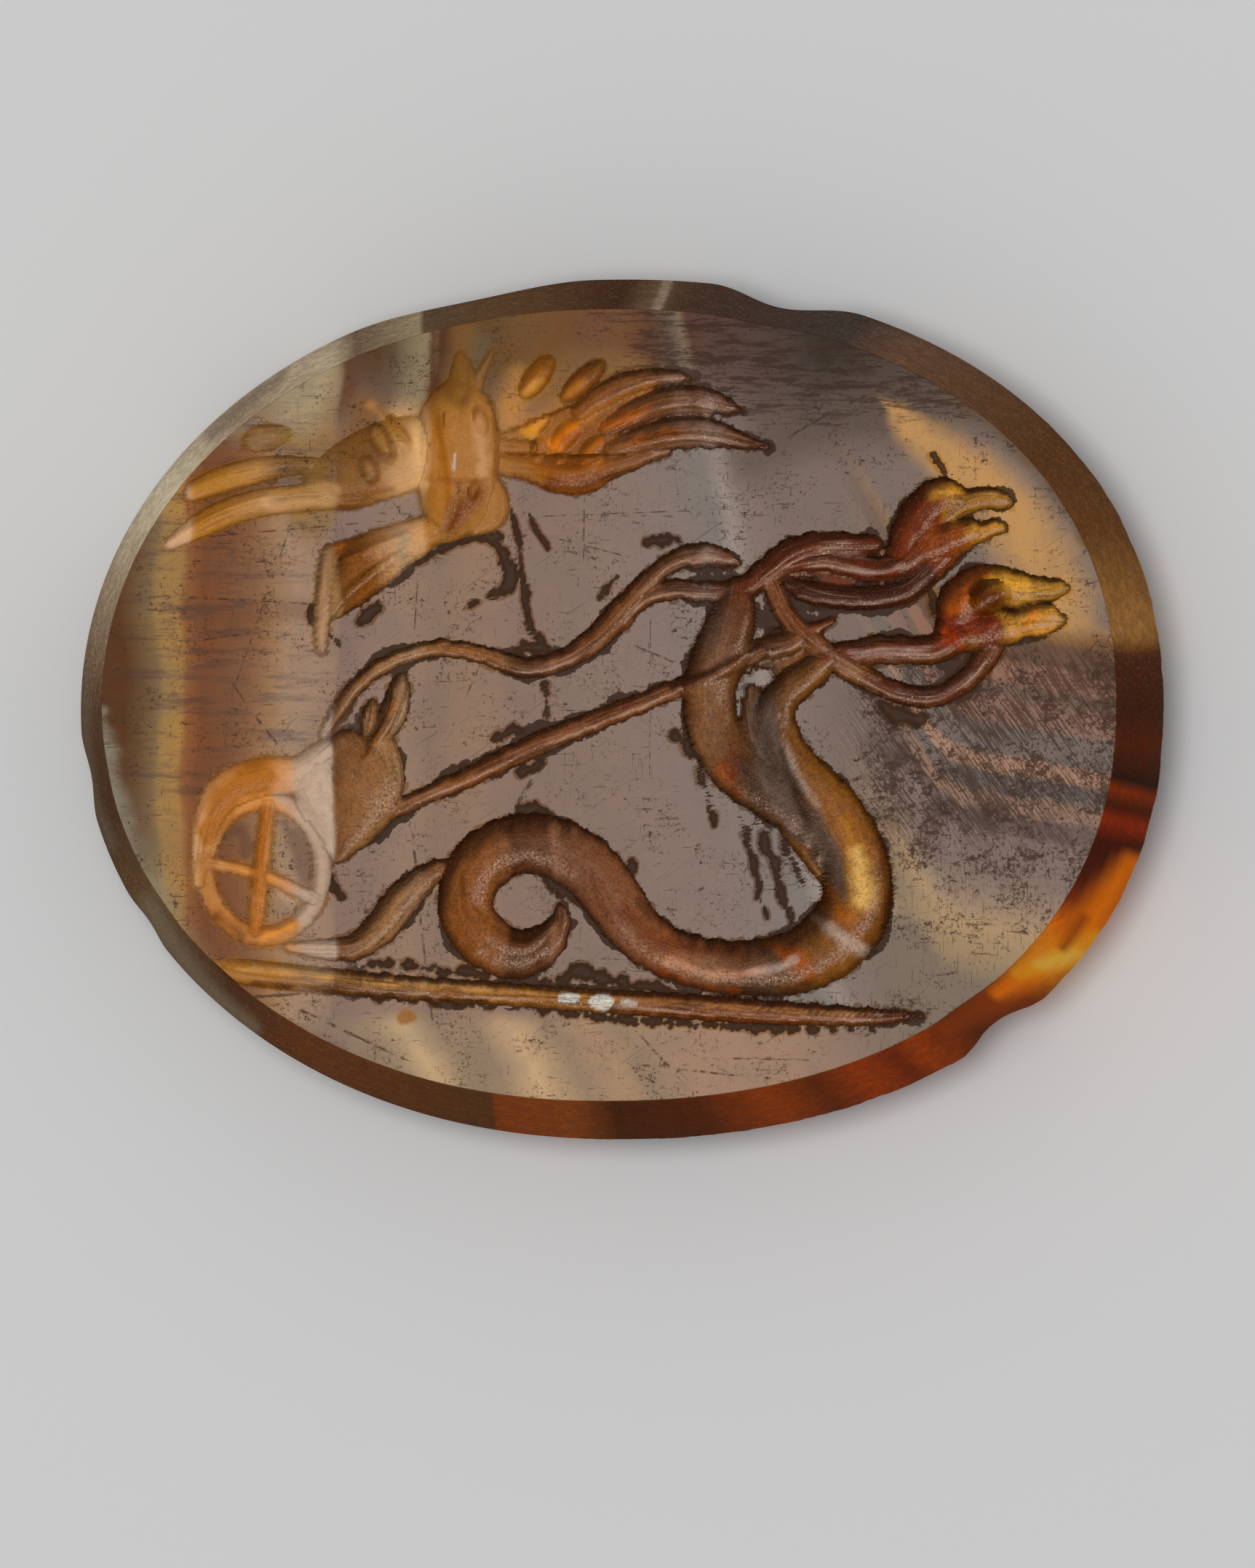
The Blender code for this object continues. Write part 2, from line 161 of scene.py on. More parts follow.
FIGURES = stroke_table(
    Cut.GROOVE,
    ("ground line", (-48.7, -30.2, 0.5), (-45, -31.2, 1.55), (-30, -32.8, 1.5), (-10, -34.2, 1.4),
     (10, -35.6, 1.55), (22, -36.4, 1.35), (30, -36.7, 1.05), (35.8, -36.5, 0.3)),
    ("upright spoke", (-42.3, -11.5, 0.9), (-43.1, -18.7, 1), (-43.8, -26, 0.9)),
    ("level spoke", (-49.5, -18.2, 0.8), (-43.5, -19.5, 0.8), (-37, -22.4, 0.9)),
    ("mudguard", Cut.BASIN, (-50.6, -20.5, 0.8), (-49.9, -14.2, 1.5), (-47.6, -9.8, 2.2),
     (-43, -7.9, 2.3), (-38.5, -7.6, 2.2), (-35.2, -5.2, 1.8)),
    ("car back", Cut.BASIN, (-36, -5.5, 1.6), (-36.5, -9.5, 2.8), (-34.6, -13.5, 2.2), (-34, -17.6, 0.8)),
    ("car front", Cut.BASIN, (-32.9, -4.2, 2), (-31.3, -8, 4), (-30.6, -11, 3.8), (-32.6, -15, 2.2),
     (-33.8, -17.6, 0.8)),
    ("car breast", Cut.BASIN, (-28.6, -4.8, 2), (-27.9, -8.6, 2.1), (-28.6, -11.5, 1.6)),
    ("rail", (-33.3, -7.3, 0.3), (-30.5, -5.2, 1), (-28.4, -2.4, 1.5), (-27, 0.4, 1.6),
     (-26.6, 2.3, 1.35), (-26.6, 3.9, 0.6)),
    ("rail knob", (-29.9, 0.8, 0.6), (-30.2, -1, 1), (-30.5, -2.8, 0.7)),
    ("strut", (-40, -28.2, 0.6), (-36, -28.5, 1.2), (-31.8, -28.2, 1.6), (-28.6, -25.7, 2.05),
     (-26.4, -22.8, 2.1), (-23.8, -20.3, 1.7), (-20.6, -18.4, 0.9)),
    ("serpent wall", Cut.BASIN, (15.6, 2.2, 1.2), (16, -3, 2), (18.8, -10, 2.4), (23.6, -17.5, 2),
     (25, -20.5, 1)),
    ("front serpent", (-7.3, -23.8, 0.6), (-7.4, -25.6, 1.4), (-9, -27.7, 2.3), (-12.2, -29.2, 2.9),
     (-16.2, -27.6, 3.25), (-18.6, -23.6, 3.35), (-17.6, -19.3, 3.55), (-14.1, -16.6, 3.6),
     (-9.6, -16.1, 3.65), (-4.7, -18.3, 3.65), (-1.5, -21.8, 3.55), (1, -25.4, 3.3), (4.2, -28.2, 3.1),
     (8, -29.8, 3.1), (12, -30.7, 3.2), (16.5, -30.8, 3.4), (21, -30.1, 3.8), (25.2, -27.7, 4.25),
     (27.8, -23.8, 4.3), (28, -19.3, 4.1), (26.6, -15, 3.8), (24.8, -11.8, 3.4), (22.6, -8.9, 3),
     (20.2, -6.2, 2.75), (18.7, -3.2, 2.6), (18.3, -0.5, 2.5), (19.6, 1.8, 2.2), (22, 3.8, 2),
     (24.6, 5.8, 1.7)),
    ("rear serpent", (13.8, 14.2, 1.6), (13.3, 11, 2.7), (12.3, 7.5, 3.3), (10.9, 4, 3.3), (10.4, 1, 3.2),
     (11, -2.2, 3.25), (12.6, -5.6, 3.2), (15.2, -8.4, 3.1), (18.6, -10.7, 3), (22, -13, 2.9),
     (24.8, -16.4, 2.6)),
    ("rein", (-35.6, -3, 0.5), (-34.2, -0.6, 0.9), (-31.9, 2.6, 1), (-28, 5.6, 1), (-22, 7.3, 1.05),
     (-16.5, 6.5, 1.1), (-11.5, 5, 1.3), (-7, 5.9, 1.3), (-3.3, 8.2, 1.5), (-0.3, 11.3, 1.6),
     (2.6, 14.6, 1.3), (5.6, 17.2, 1.2), (9.3, 18.3, 1.5), (12.3, 17.9, 1.15), (14.3, 17.1, 0.2)),
    ("rein branch", (-0.5, 10.2, 1.3), (2.4, 13, 1.2), (6, 14.2, 1.25), (10, 14, 1.25),
     (13.5, 14.2, 1.25), (17, 16, 1.3)),
    ("pole", (-29.5, -13, 1.2), (-24.5, -10.7, 1.1), (-18, -7.9, 1.25), (-12, -5, 1.4), (-5, -2.1, 1.35),
     (1, 0.2, 1.25), (6.5, 2.4, 1.15), (10.5, 3.9, 0.75), (13.8, 5.4, 0.85), (16.5, 7, 1.4),
     (19.5, 7.6, 1.6), (22, 9, 1.2), (25.3, 10.5, 0.4)),
    ("strap", (17.5, 15.8, 1), (18.4, 13.8, 1.3), (19.4, 11.6, 1.3), (21.2, 9.2, 1.3), (24, 6.8, 1.5),
     (27.5, 4.6, 1.5), (31.2, 2.6, 1.3), (34, 1.6, 1.3), (36.8, 1.3, 1.3), (39.3, 2.1, 1.3),
     (41.6, 3.8, 1.4), (43.6, 6.2, 1.5), (45.2, 8.8, 1.2)),
    ("upper neck crest", (15.6, 14.8, 1.5), (17.6, 16.6, 1.6), (20, 18.3, 1.8), (23, 19.3, 1.7),
     (26.5, 19.4, 1.6), (30, 19.4, 1.2)),
    ("upper neck", (18.2, 16.2, 1.2), (21, 17.4, 1.3), (24.5, 17.6, 1.5), (28, 16.9, 1.6),
     (31.5, 16.6, 1.6), (34.6, 17.8, 2), (36.5, 20.5, 2.2)),
    ("upper neck loop", (20.2, 14.8, 1), (22.5, 13.8, 1.4), (26.5, 13.2, 1.45), (30.5, 13.2, 1.45),
     (34, 14, 1.5), (36.8, 16.2, 1.5), (39.5, 18.8, 1.3)),
    ("lower neck", (25, 6.7, 1), (27.5, 6.6, 1.5), (31, 7, 1.8), (34.5, 6.9, 1.7), (37.5, 7, 1.8),
     (39.8, 8.4, 2)),
    ("upper skull", (33.6, 18.8, 2), (34.8, 21.4, 2.4), (36.4, 23.7, 2.6), (38.1, 25, 2.5),
     (39.4, 25, 2)),
    ("upper cheek", (36, 18.8, 2.1), (38.6, 20, 2.4), (41.2, 20.8, 1.9)),
    ("upper bill", (37.4, 21.4, 0.9), (38.8, 22.9, 1.4), (40.6, 24.3, 1.5), (42.8, 24.9, 1.4),
     (44.8, 24.8, 1.3), (46, 24.3, 0.8)),
    ("upper jaw", (41.4, 20.1, 1.1), (43.6, 21.2, 1.25), (45.2, 21.4, 0.8)),
    ("lower skull", (39.5, 9.8, 2.2), (40.8, 12.5, 3), (42.8, 13.8, 3.2), (45, 14.4, 2.4)),
    ("lower bill", (45, 14.4, 2.6), (47.6, 14, 2.1), (50, 14, 1.6), (52, 14.1, 1.2), (53.2, 14.2, 0.4)),
    ("lower throat", (40.2, 8.8, 2.3), (43.5, 9.3, 2.5), (46.5, 9.6, 2)),
    ("lower jaw", (46.4, 9.6, 1.4), (48.6, 10.4, 2.1), (50.6, 10.6, 1.9), (52.3, 10.4, 0.8)),
    ("bird's body", Cut.BASIN, (-19.4, 37.2, 2.6), (-19.6, 34, 4.7), (-19.8, 30.2, 5.2),
     (-19.6, 26.2, 4.7), (-20.2, 23.4, 3.2), (-21, 21.4, 1.6)),
    ("bird's crest", Cut.BASIN, (-17.6, 38, 0.9), (-16.6, 40.4, 0.7), (-15.4, 42.6, 0.3)),
    ("bird's head", Cut.BASIN, (-19, 38, 2), (-19, 40.2, 1.5), (-19.3, 42, 0.7)),
    ("tail fan", Cut.BASIN, (-22.5, 21.5, 1.9), (-26.5, 19.5, 2.7), (-30.3, 17.4, 3.5),
     (-32.8, 14.6, 2.7), (-34.4, 12.2, 1.4)),
    ("tail's corner", Cut.BASIN, (-27, 20.4, 1), (-31, 19.5, 1.3), (-33.8, 18.9, 1.2)),
    ("thigh", (-16.2, 27.6, 1.2), (-15.2, 25, 1.8), (-15.4, 22.9, 1.5), (-17.6, 21.4, 0.8)),
    ("tail spur", (-34.8, 18.8, 1.1), (-35.2, 15, 1.4), (-35.6, 12, 1.1), (-35.9, 9.5, 0.95),
     (-35.9, 7.4, 0.7), (-35.9, 6.6, 0.3)),
    ("left top feather", Cut.BASIN, (-43.9, 32.2, 1.4), (-42.4, 32.5, 1.6), (-40.8, 32.8, 1.2)),
    ("left upper feather", (-51.2, 26.1, 1.3), (-48.5, 27.2, 1.6), (-45, 28.3, 1.6), (-41, 29, 1.4),
     (-36.5, 29.2, 0.9)),
    ("left lower feather", (-54, 19.9, 0.8), (-52.4, 20.9, 1.2), (-49.4, 22.6, 1.6), (-46, 24, 1.7),
     (-42, 24.9, 1.7), (-36.5, 25.4, 1.7), (-31.5, 25.6, 1.6), (-28, 26.4, 1)),
    ("left wing's floor", Cut.BASIN, (-35.5, 27.2, 2.6), (-31, 28.8, 4.2), (-27, 30.2, 4.6),
     (-24.6, 31.2, 3.8)),
    ("left arm", (-29, 26.9, 0.7), (-26.4, 26.8, 0.8), (-24.6, 26.9, 0.7)),
    ("right wing's edge", (-13.8, 29.2, 1.5), (-10.5, 28.7, 1.7), (-7.5, 28, 2.3), (-4.5, 28, 2.4),
     (-1.5, 28.9, 1.6), (2, 29.9, 1.2), (5.5, 30.8, 0.6)),
    ("right top feather", (-4.9, 35.6, 1.1), (-2.5, 37.2, 1.4), (0.3, 38.6, 1.5), (3.5, 39.4, 1.15),
     (6.5, 39.5, 0.8), (8.7, 39.3, 0.2)),
    ("right middle feather", (-1.6, 33.4, 1), (1, 34.8, 1.5), (4.5, 36.4, 1.6), (8, 36.9, 1.7),
     (11.2, 36.4, 1.35), (13.2, 35.8, 0.8), (14.6, 35.3, 0.1)),
    ("right lower feather", (-1.2, 30.8, 1), (1.8, 31.8, 1.5), (5.5, 32.7, 1.9), (9, 32.9, 1.9),
     (12.2, 32.4, 1.45), (15.2, 31.6, 0.8), (18, 31.1, 0.1)),
    ("wing link", (-14.2, 31.3, 0.9), (-10.8, 31.2, 0.8)),
)

PITS: tuple[Oval, ...] = (
    Oval(-10.1, 39.6, 3.1, 1.5, 53), Oval(-4.6, 39.1, 3.5, 1.4, 43),
)

# Pits and creases cut into the floor of the figures above.
FLOOR_PITS: tuple[Oval, ...] = (
    Oval(-17, 34.5, 1.75, 0.85, -75), Oval(-17.9, 26.2, 1.2, 0.7, 80), Oval(-10, 34.1, 2.2, 1.2, 42),
    Oval(-10, 31.2, 1.5, 0.9, 80), Oval(-6.6, 32.6, 2.4, 1.4, 46), Oval(-3.5, 30.9, 2.2, 1.3, 46),
    Oval(-7.2, 30.6, 1.4, 0.8, 60), Oval(-28.7, 31.7, 2.6, 1.3, -66), Oval(-27.4, 34.4, 3.2, 0.8, -52),
    Oval(-30.3, 28.7, 1.7, 1.1, -75), Oval(43.9, 13.2, 2.4, 2.2, 0),
)

CREASES = stroke_table(
    Cut.SCORE,
    ("rail's inner line", (-31, -6.3, 0.3), (-29.6, -4.2, 0.7), (-28.6, -2.2, 0.8), (-27.9, -0.3, 0.4)),
    ("tail's inner line", (-19, -20, 0.3), (-18, -24, 0.9), (-15, -27.2, 1), (-11.5, -28, 0.9),
     (-8.2, -25.5, 0.5)),
    ("body's inner line", (-3.5, -19.5, 0.3), (-2.6, -22, 0.8), (-1, -25, 0.9), (1.2, -28, 0.4)),
    ("body's collar", (-16, 37.6, 0.3), (-15.2, 34.5, 0.8), (-15, 30.5, 0.8), (-15.6, 27, 0.4)),
    ("body's left line", (-23.6, 35.5, 0.3), (-23.2, 32, 1), (-23.4, 29, 0.9), (-22.4, 26.5, 0.3)),
    ("body's middle line", (-22, 36, 0.3), (-21.3, 32, 0.7), (-20.6, 28, 0.7), (-20.8, 24, 0.3)),
    ("body's hem", (-23.6, 27.4, 0.3), (-20.4, 27.2, 0.6), (-16.4, 27, 0.4)),
    ("upper feather's line", (-50.4, 25.4, 0.3), (-47, 26.4, 0.7), (-42, 27.4, 0.6)),
    ("lower feather's line", (-52, 21.4, 0.3), (-48, 23.8, 0.6), (-43, 25.4, 0.6), (-36, 25.8, 0.3)),
    ("tail's upper rib", (-25.5, 21, 0.3), (-29.5, 19.6, 0.8), (-33, 18.2, 0.4)),
    ("pole over the serpent", (6.8, 2.5, 0.7), (10.5, 3.9, 0.8), (13.8, 5.4, 0.9), (16.5, 6.8, 1)),
    ("upper feather's rib", (0.4, 34.4, 0.3), (4.5, 36, 0.6), (8.6, 36.4, 0.4)),
    ("right feather's rib", (0.6, 31.2, 0.3), (5, 32.2, 0.7), (9.4, 32.4, 0.5)),
    ("wing edge's fold", (-9.6, 29.4, 0.3), (-7.4, 28.4, 0.9), (-4.6, 28.6, 0.8), (-2.2, 30.4, 0.3)),
    ("crest's strand", (17, 15.8, 0.3), (21, 18.8, 0.6), (26, 19.9, 0.5), (30, 19.6, 0.2)),
    ("neck's strand", (20, 16.8, 0.3), (24.5, 17.9, 0.5), (28.5, 16.6, 0.5), (32, 16.4, 0.6),
     (34.5, 18.6, 0.3)),
    ("lower neck's strand", (27, 7, 0.3), (31, 7.6, 0.6), (35.5, 7.4, 0.6), (38.5, 8.2, 0.3)),
    ("strap's strand", (19, 13, 0.3), (21.2, 9.4, 0.5), (26.5, 5.2, 0.5), (33, 1.9, 0.4), (39, 1.9, 0.4),
     (43, 5.6, 0.3)),
    ("throat's fold", (38.6, 10, 0.3), (40.6, 8.6, 0.7), (42.4, 6.8, 0.3)),
    ("mouth's corner", (43.6, 9.6, 0.3), (45.4, 11.2, 0.6), (47, 12.2, 0.3)),
    ("tail's lower rib", (-24.5, 19.8, 0.3), (-28.5, 17.2, 0.9), (-32.5, 14.2, 0.8), (-34.5, 11.8, 0.3)),
    ("lower cheek's crescent", (41, 9.8, 0.3), (40.2, 11.4, 0.7), (40.6, 13.2, 0.5)),
    ("upper cheek's crescent", (36.4, 19.6, 0.3), (35.8, 21.2, 0.6), (36.2, 22.6, 0.4)),
    ("serpent's fold", (17.6, -2, 0.3), (19, -7, 0.8), (22.3, -12, 0.9), (25, -17, 0.6),
     (25.8, -20, 0.3)),
)

# Shallow matt hollows round the figures, and the islands of polish left standing in them.
HOLLOWS = stroke_table(
    Cut.GROOVE,
    ("pole's bed", (14.8, 6, 2), (18, 6.6, 2.9), (21.8, 7.8, 2)),
    ("neck's bed", (20.5, 15.5, 1.4), (26, 15.3, 1.8), (33, 15.3, 1.3)),
    ("right wing's bed", (-13.6, 31.6, 1.6), (-9.5, 31.4, 3.2), (-4.5, 32.6, 4), (0.5, 35, 3.4),
     (5, 35.4, 2.8), (9, 35.2, 2)),
)

ISLANDS = stroke_table(
    Cut.GROOVE,
    ("pole island 1", (16.5, 8.7, 0.7), (17.2, 9.3, 0.6)),
    ("pole island 2", (14.4, -0.4, 0.9), (14.9, 2.2, 1.4), (16.6, 3.7, 1.1), (18.2, 3.8, 0.6)),
    ("pole island 3", (15, -2.9, 0.35), (15.5, -4, 0.3)),
    ("neck island 1", (21.3, 15.2, 0.35), (23.2, 15.4, 0.3)),
    ("neck island 2", (28.2, 14.7, 0.3), (32, 14.8, 0.3)),
)

# Ragged breaks in the polish, hardly any depth.
CHIPS = stroke_table(
    Cut.GROOVE,
    ("break 1", (-17.9, 21.3, 0.3), (-15.3, 19.8, 0.55), (-13.8, 17.6, 0.75), (-13.2, 15.2, 1),
     (-14, 14.4, 0.9)),
    ("break 2", (-14, 14.4, 0.8), (-15.6, 13.6, 0.45), (-18.4, 12.2, 0.15)),
    ("break 3", (-13.2, 24, 0.25), (-12.3, 20.4, 0.35), (-11.8, 15.1, 0.4), (-11, 10.5, 0.45),
     (-9.8, 8.2, 0.6)),
    ("break 4", (-12.2, 6.9, 0.5), (-10.2, 7.5, 0.9), (-8.4, 6.8, 0.5)),
    ("break 5", (-9.2, 2.8, 0.3), (-8.7, -0.2, 0.4), (-7.7, -1.8, 0.4)),
    ("break 6", (-11.2, 23.4, 0.15), (-10.2, 21.4, 0.4), (-8.7, 19.2, 0.2)),
    ("tail's fringe", (-24.5, 17.4, 0.4), (-21.5, 19.2, 0.5), (-18, 20.4, 0.6), (-14.6, 20.6, 0.7)),
    ("tail chip", (-29.4, 12, 0.9), (-31.2, 10.6, 0.6)),
    ("upper line 1", (-31.4, -30.6, 0.2), (-28, -30.2, 0.5), (-22.8, -30.9, 0.4)),
    ("upper line 2", (-22, -31.4, 0.4), (-18.6, -31.2, 0.55), (-16, -31.8, 0.45)),
    ("upper line 3", (-8.8, -32.6, 0.4), (-6.4, -31.8, 0.7), (-4.6, -31.2, 0.95), (-2.4, -32.2, 0.8),
     (0.4, -32.4, 0.5)),
    ("upper line 4", (0.4, -33, 0.4), (3.2, -33, 0.6), (5.6, -33.4, 0.4)),
    ("lower line 1", (-30, -34.4, 0.15), (-20, -35.1, 0.2), (-10, -35.8, 0.2)),
    ("lower line 2", (-9.5, -35.9, 0.3), (-4, -36.5, 0.4), (0, -36.9, 0.5), (4, -37.2, 0.45),
     (10, -37.6, 0.4)),
    ("lower line 3", (10, -37.6, 0.4), (17, -38, 0.5), (22, -38.1, 0.35), (30, -38.1, 0.15)),
    ("row 1", (9.3, -7.2, 0.25), (9.9, -9.8, 0.45), (11.4, -13.4, 0.35)),
    ("row 2", (14.2, -12.6, 0.2), (15.4, -16.8, 0.4), (16, -20, 0.4), (17.4, -24.6, 0.25)),
    ("row 3", (16.2, -13.4, 0.4), (17.6, -17, 0.6), (18.8, -20.6, 0.5), (20.4, -25.2, 0.3)),
    ("row 4", (18.4, -14, 0.2), (20.2, -17.4, 0.35), (21.8, -21, 0.3)),
    ("row 5", (21, -15, 0.25), (22.6, -16.6, 0.4), (23.4, -18.6, 0.25)),
    ("back chip", (-12.4, -11.9, 0.4), (-10.2, -11.8, 0.7), (-8.4, -12.6, 0.4)),
    ("coil chip 1", (-8.6, -20.4, 0.8), (-6.9, -21.6, 1), (-5, -22.6, 0.6)),
    ("coil chip 2", (1, -18.4, 0.7), (1.3, -19.8, 0.6)),
    ("serpent chip", (6.2, -3, 0.5), (7.6, -4.2, 0.7), (8.6, -5.4, 0.5)),
    ("strap chip", (31.2, 0.4, 0.6), (33.2, -0.9, 1), (35.4, -1.3, 0.7), (36.8, -1, 0.2)),
    ("rein chip", (3, 19.9, 0.4), (5.2, 20.1, 0.7), (6.8, 20.2, 0.2)),
    ("rein notch", (-2.6, 13.2, 0.4), (-1.4, 14.8, 0.5), (-0.8, 15.6, 0.2)),
    ("crown chip", (37.2, 30.2, 0.25), (38.2, 28.8, 0.4), (39.2, 27.6, 0.3)),
    ("neck chip 1", (23, 12.8, 0.3), (23.3, 10.8, 0.4), (22.3, 9.8, 0.3)),
    ("neck chip 2", (36.8, 14.2, 0.35), (37.4, 11.2, 0.5), (38.2, 8.8, 0.3)),
    ("pole chip 1", (-15.4, -3.6, 0.4), (-13.2, -2.6, 0.6), (-11.4, -2.6, 0.3)),
    ("pole chip 2", (-13.4, -7.4, 0.3), (-11.2, -7.3, 0.6), (-9.6, -6.2, 0.3)),
    ("tail dirt", (-33.8, 8, 0.2), (-36.9, 10.6, 0.5), (-37, 12.6, 0.3)),
    ("strut dirt", (-33.6, -22.4, 0.4), (-34.6, -21, 0.7), (-35, -19.6, 0.3)),
)

# Scratches in the polish: each runs straight through its points.
SCRATCHES = stroke_table(
    Cut.GROOVE,
    ("slant 1", (-9.3, -6, 0.12), (-13, -12, 0.14)),
    ("slant 2", (-8.7, -6, 0.1), (-12.5, -11.6, 0.1)),
    ("slant 3", (0.5, 8, 0.14), (6, 5.7, 0.14)),
    ("long upright", (3.5, 11, 0.06), (3.4, -8, 0.06)),
    ("feather's tail", (18, 31.1, 0.12), (24, 34.6, 0.14), (33, 39, 0.1)),
    ("cross 1", (23, 38, 0.12), (32, 36, 0.1), (43, 34.2, 0.08)),
    ("left slant 1", (-43.9, 22.5, 0.1), (-40.6, 9.7, 0.12)),
    ("left slant 2", (-39.4, 22.5, 0.08), (-46.1, 3.3, 0.1)),
    ("left level 1", (-51.6, 13.5, 0.14), (-36.6, 12.6, 0.1)),
    ("left level 2", (-51, 8.3, 0.12), (-42.6, 9.4, 0.08)),
    ("left level 3", (-51.6, 17.8, 0.12), (-37, 17.6, 0.08)),
    ("left level 4", (-51, 20.6, 0.12), (-22, 23, 0.08)),
    ("strap's level 1", (43.3, 3, 0.08), (58.9, 2.5, 0.08)),
    ("strap's level 2", (44.5, 3.3, 0.2), (52, 3.9, 0.14)),
    ("bill's line", (53.4, 14.1, 0.1), (57.6, 15.2, 0.1)),
    ("upright 1", (-4.4, 27, 0.1), (-4.5, 18, 0.08)),
    ("upright 2", (-24.4, 14.6, 0.1), (-24.9, 7.4, 0.1)),
    ("upright 3", (-25.2, -14, 0.16), (-24.4, -19.4, 0.18)),
    ("upright 4", (-24, -25, 0.14), (-22.6, -37, 0.16)),
    ("low row 1", (2, -38.6, 0.14), (6.4, -43.4, 0.2)),
    ("low row 2", (2.6, -42.4, 0.12), (13.4, -43.6, 0.14)),
    ("low row 3", (12.6, -41.6, 0.1), (22.6, -41.8, 0.12)),
    ("low row 4", (-40, -35, 0.2), (-26, -41.6, 0.14)),
    ("low row 5", (-49, -34.4, 0.2), (-36, -33.8, 0.2)),
    ("left rise", (-38, -8, 0.12), (-43.6, -1, 0.16), (-46.4, 3, 0.1)),
    ("far slant 1", (-20.6, -3, 0.08), (-17, 5, 0.08)),
    ("far level 1", (-9, 23, 0.08), (9, 23.6, 0.08)),
    ("far level 2", (-8, 20.4, 0.08), (2, 17.8, 0.08)),
)


def tone(red: float, green: float, blue: float) -> Colour:
    """Turns a colour as the eye reads it into the shader's linear colour.

    Args:
        red: Red share, 0 to 1, as displayed.
        green: Green share.
        blue: Blue share.

    Returns:
        The linear colour.
    """
    linear = [c / 12.92 if c <= 0.04045 else ((c + 0.055) / 1.055) ** 2.4 for c in (red, green, blue)]
    return linear[0], linear[1], linear[2]


def shares(hundredths: Iterable[float]) -> Colour:
    """Turns a table's hundredths into shares."""
    return tuple(value / 100.0 for value in hundredths)


@dataclass(frozen=True)
class Blank:
    """The uncarved stone's sizes beside those of its box, in metres and degrees.

    Attributes:
        fullness_right: The power of the oval outline at the right end.
        chips: The outline's chips: bearing, half span and depth.
        scene_along: How far the carved scene is moved along the stone.
    """

    girdle_height: float = 0.0009
    girdle_band: float = 0.0003
    face_bevel: float = 0.00044
    back_bevel: float = 0.00026
    fullness_right: float = 2.2
    fullness_left: float = 2.05
    chip_share_at_face: float = 0.15
    chip_share_at_back: float = 0.6
    chips: tuple[Point, ...] = ((68.0, 10.0, 0.00017), (110.0, 17.0, 0.00008), (187.0, 5.0, 0.00006),
                                (204.0, 4.0, 0.00004), (320.0, 6.0, 0.00015))
    scene_along: float = 0.00016
    scene_across: float = -0.00005


def wander(x: np.ndarray, y: np.ndarray, pace: float, seed: int) -> np.ndarray:
    """Gives a smooth uneven value, about -1 to 1, for each place: a sum of waves.

    Args:
        x: Places along the face.
        y: Places across the face.
        pace: Waves for each unit of length.
        seed: Picks the directions and phases of the waves.

    Returns:
        The value at each place.
    """
    draw = np.random.default_rng(seed)
    total = np.zeros_like(x)
    waves = 9
    for _ in range(waves):
        angle, phase, stretch = draw.uniform(0.0, 2.0 * math.pi, 2).tolist() + [draw.uniform(0.6, 1.7)]
        step = 2.0 * math.pi * pace * stretch
        total += np.sin(step * (x * math.cos(angle) + y * math.sin(angle)) + phase)
    return total / math.sqrt(waves)


def smooth_line(knots: tuple[Point, ...], steps: int = 7) -> np.ndarray:
    """Draws a smooth line through knots.

    Args:
        knots: The points that the line runs through, each with its half width.
        steps: How many short runs join one knot to the next.

    Returns:
        The line's points, one row each.
    """
    rows = np.array((knots[0], *knots, knots[-1]), float)
    made = []
    for i in range(len(knots) - 1):
        a, b, c, d = rows[i:i + 4]
        for t in np.linspace(0.0, 1.0, steps, endpoint=False):
            made.append(0.5 * (2 * b + (c - a) * t + (2 * a - 5 * b + 4 * c - d) * t * t
                               + (3 * b - a - 3 * c + d) * t ** 3))
    made.append(rows[-1])
    return np.array(made)


def ease(value: np.ndarray, start: float, end: float) -> np.ndarray:
    """Eases from 0 to 1 while a value goes from start to end; end may be the smaller."""
    share = np.clip((value - start) / (end - start), 0.0, 1.0)
    return share * share * (3.0 - 2.0 * share)


@dataclass
class Trace:
    """What one stroke leaves at each place near it, in tenths of a millimetre."""

    inside: np.ndarray
    width: np.ndarray
    along: np.ndarray
    side: np.ndarray


def trace(stroke: Stroke, x: np.ndarray, y: np.ndarray) -> Trace:
    """Measures places against a stroke.

    Args:
        stroke: The stroke.
        x: Places along the face.
        y: Places across the face.

    Returns:
        How far each place lies inside the stroke's edge (negative outside), the half width there,
        and the place along and beside the stroke's line.
    """
    line = smooth_line(stroke.knots)
    found = Trace(np.full_like(x, -1e9), np.ones_like(x), np.zeros_like(x), np.zeros_like(x))
    run = 0.0
    for (ax, ay, aw), (bx, by, bw) in zip(line[:-1], line[1:]):
        dx, dy = bx - ax, by - ay
        length = math.hypot(dx, dy)
        share = np.clip(((x - ax) * dx + (y - ay) * dy) / length ** 2, 0.0, 1.0)
        ox, oy = x - ax - share * dx, y - ay - share * dy
        width = aw + (bw - aw) * share
        inside = width - np.hypot(ox, oy)
        better = inside > found.inside
        found.inside[better] = inside[better]
        found.width[better] = width[better]
        found.along[better] = (run + share * length)[better]
        found.side[better] = ((dx * oy - dy * ox) / length)[better]
        run += length
    return found


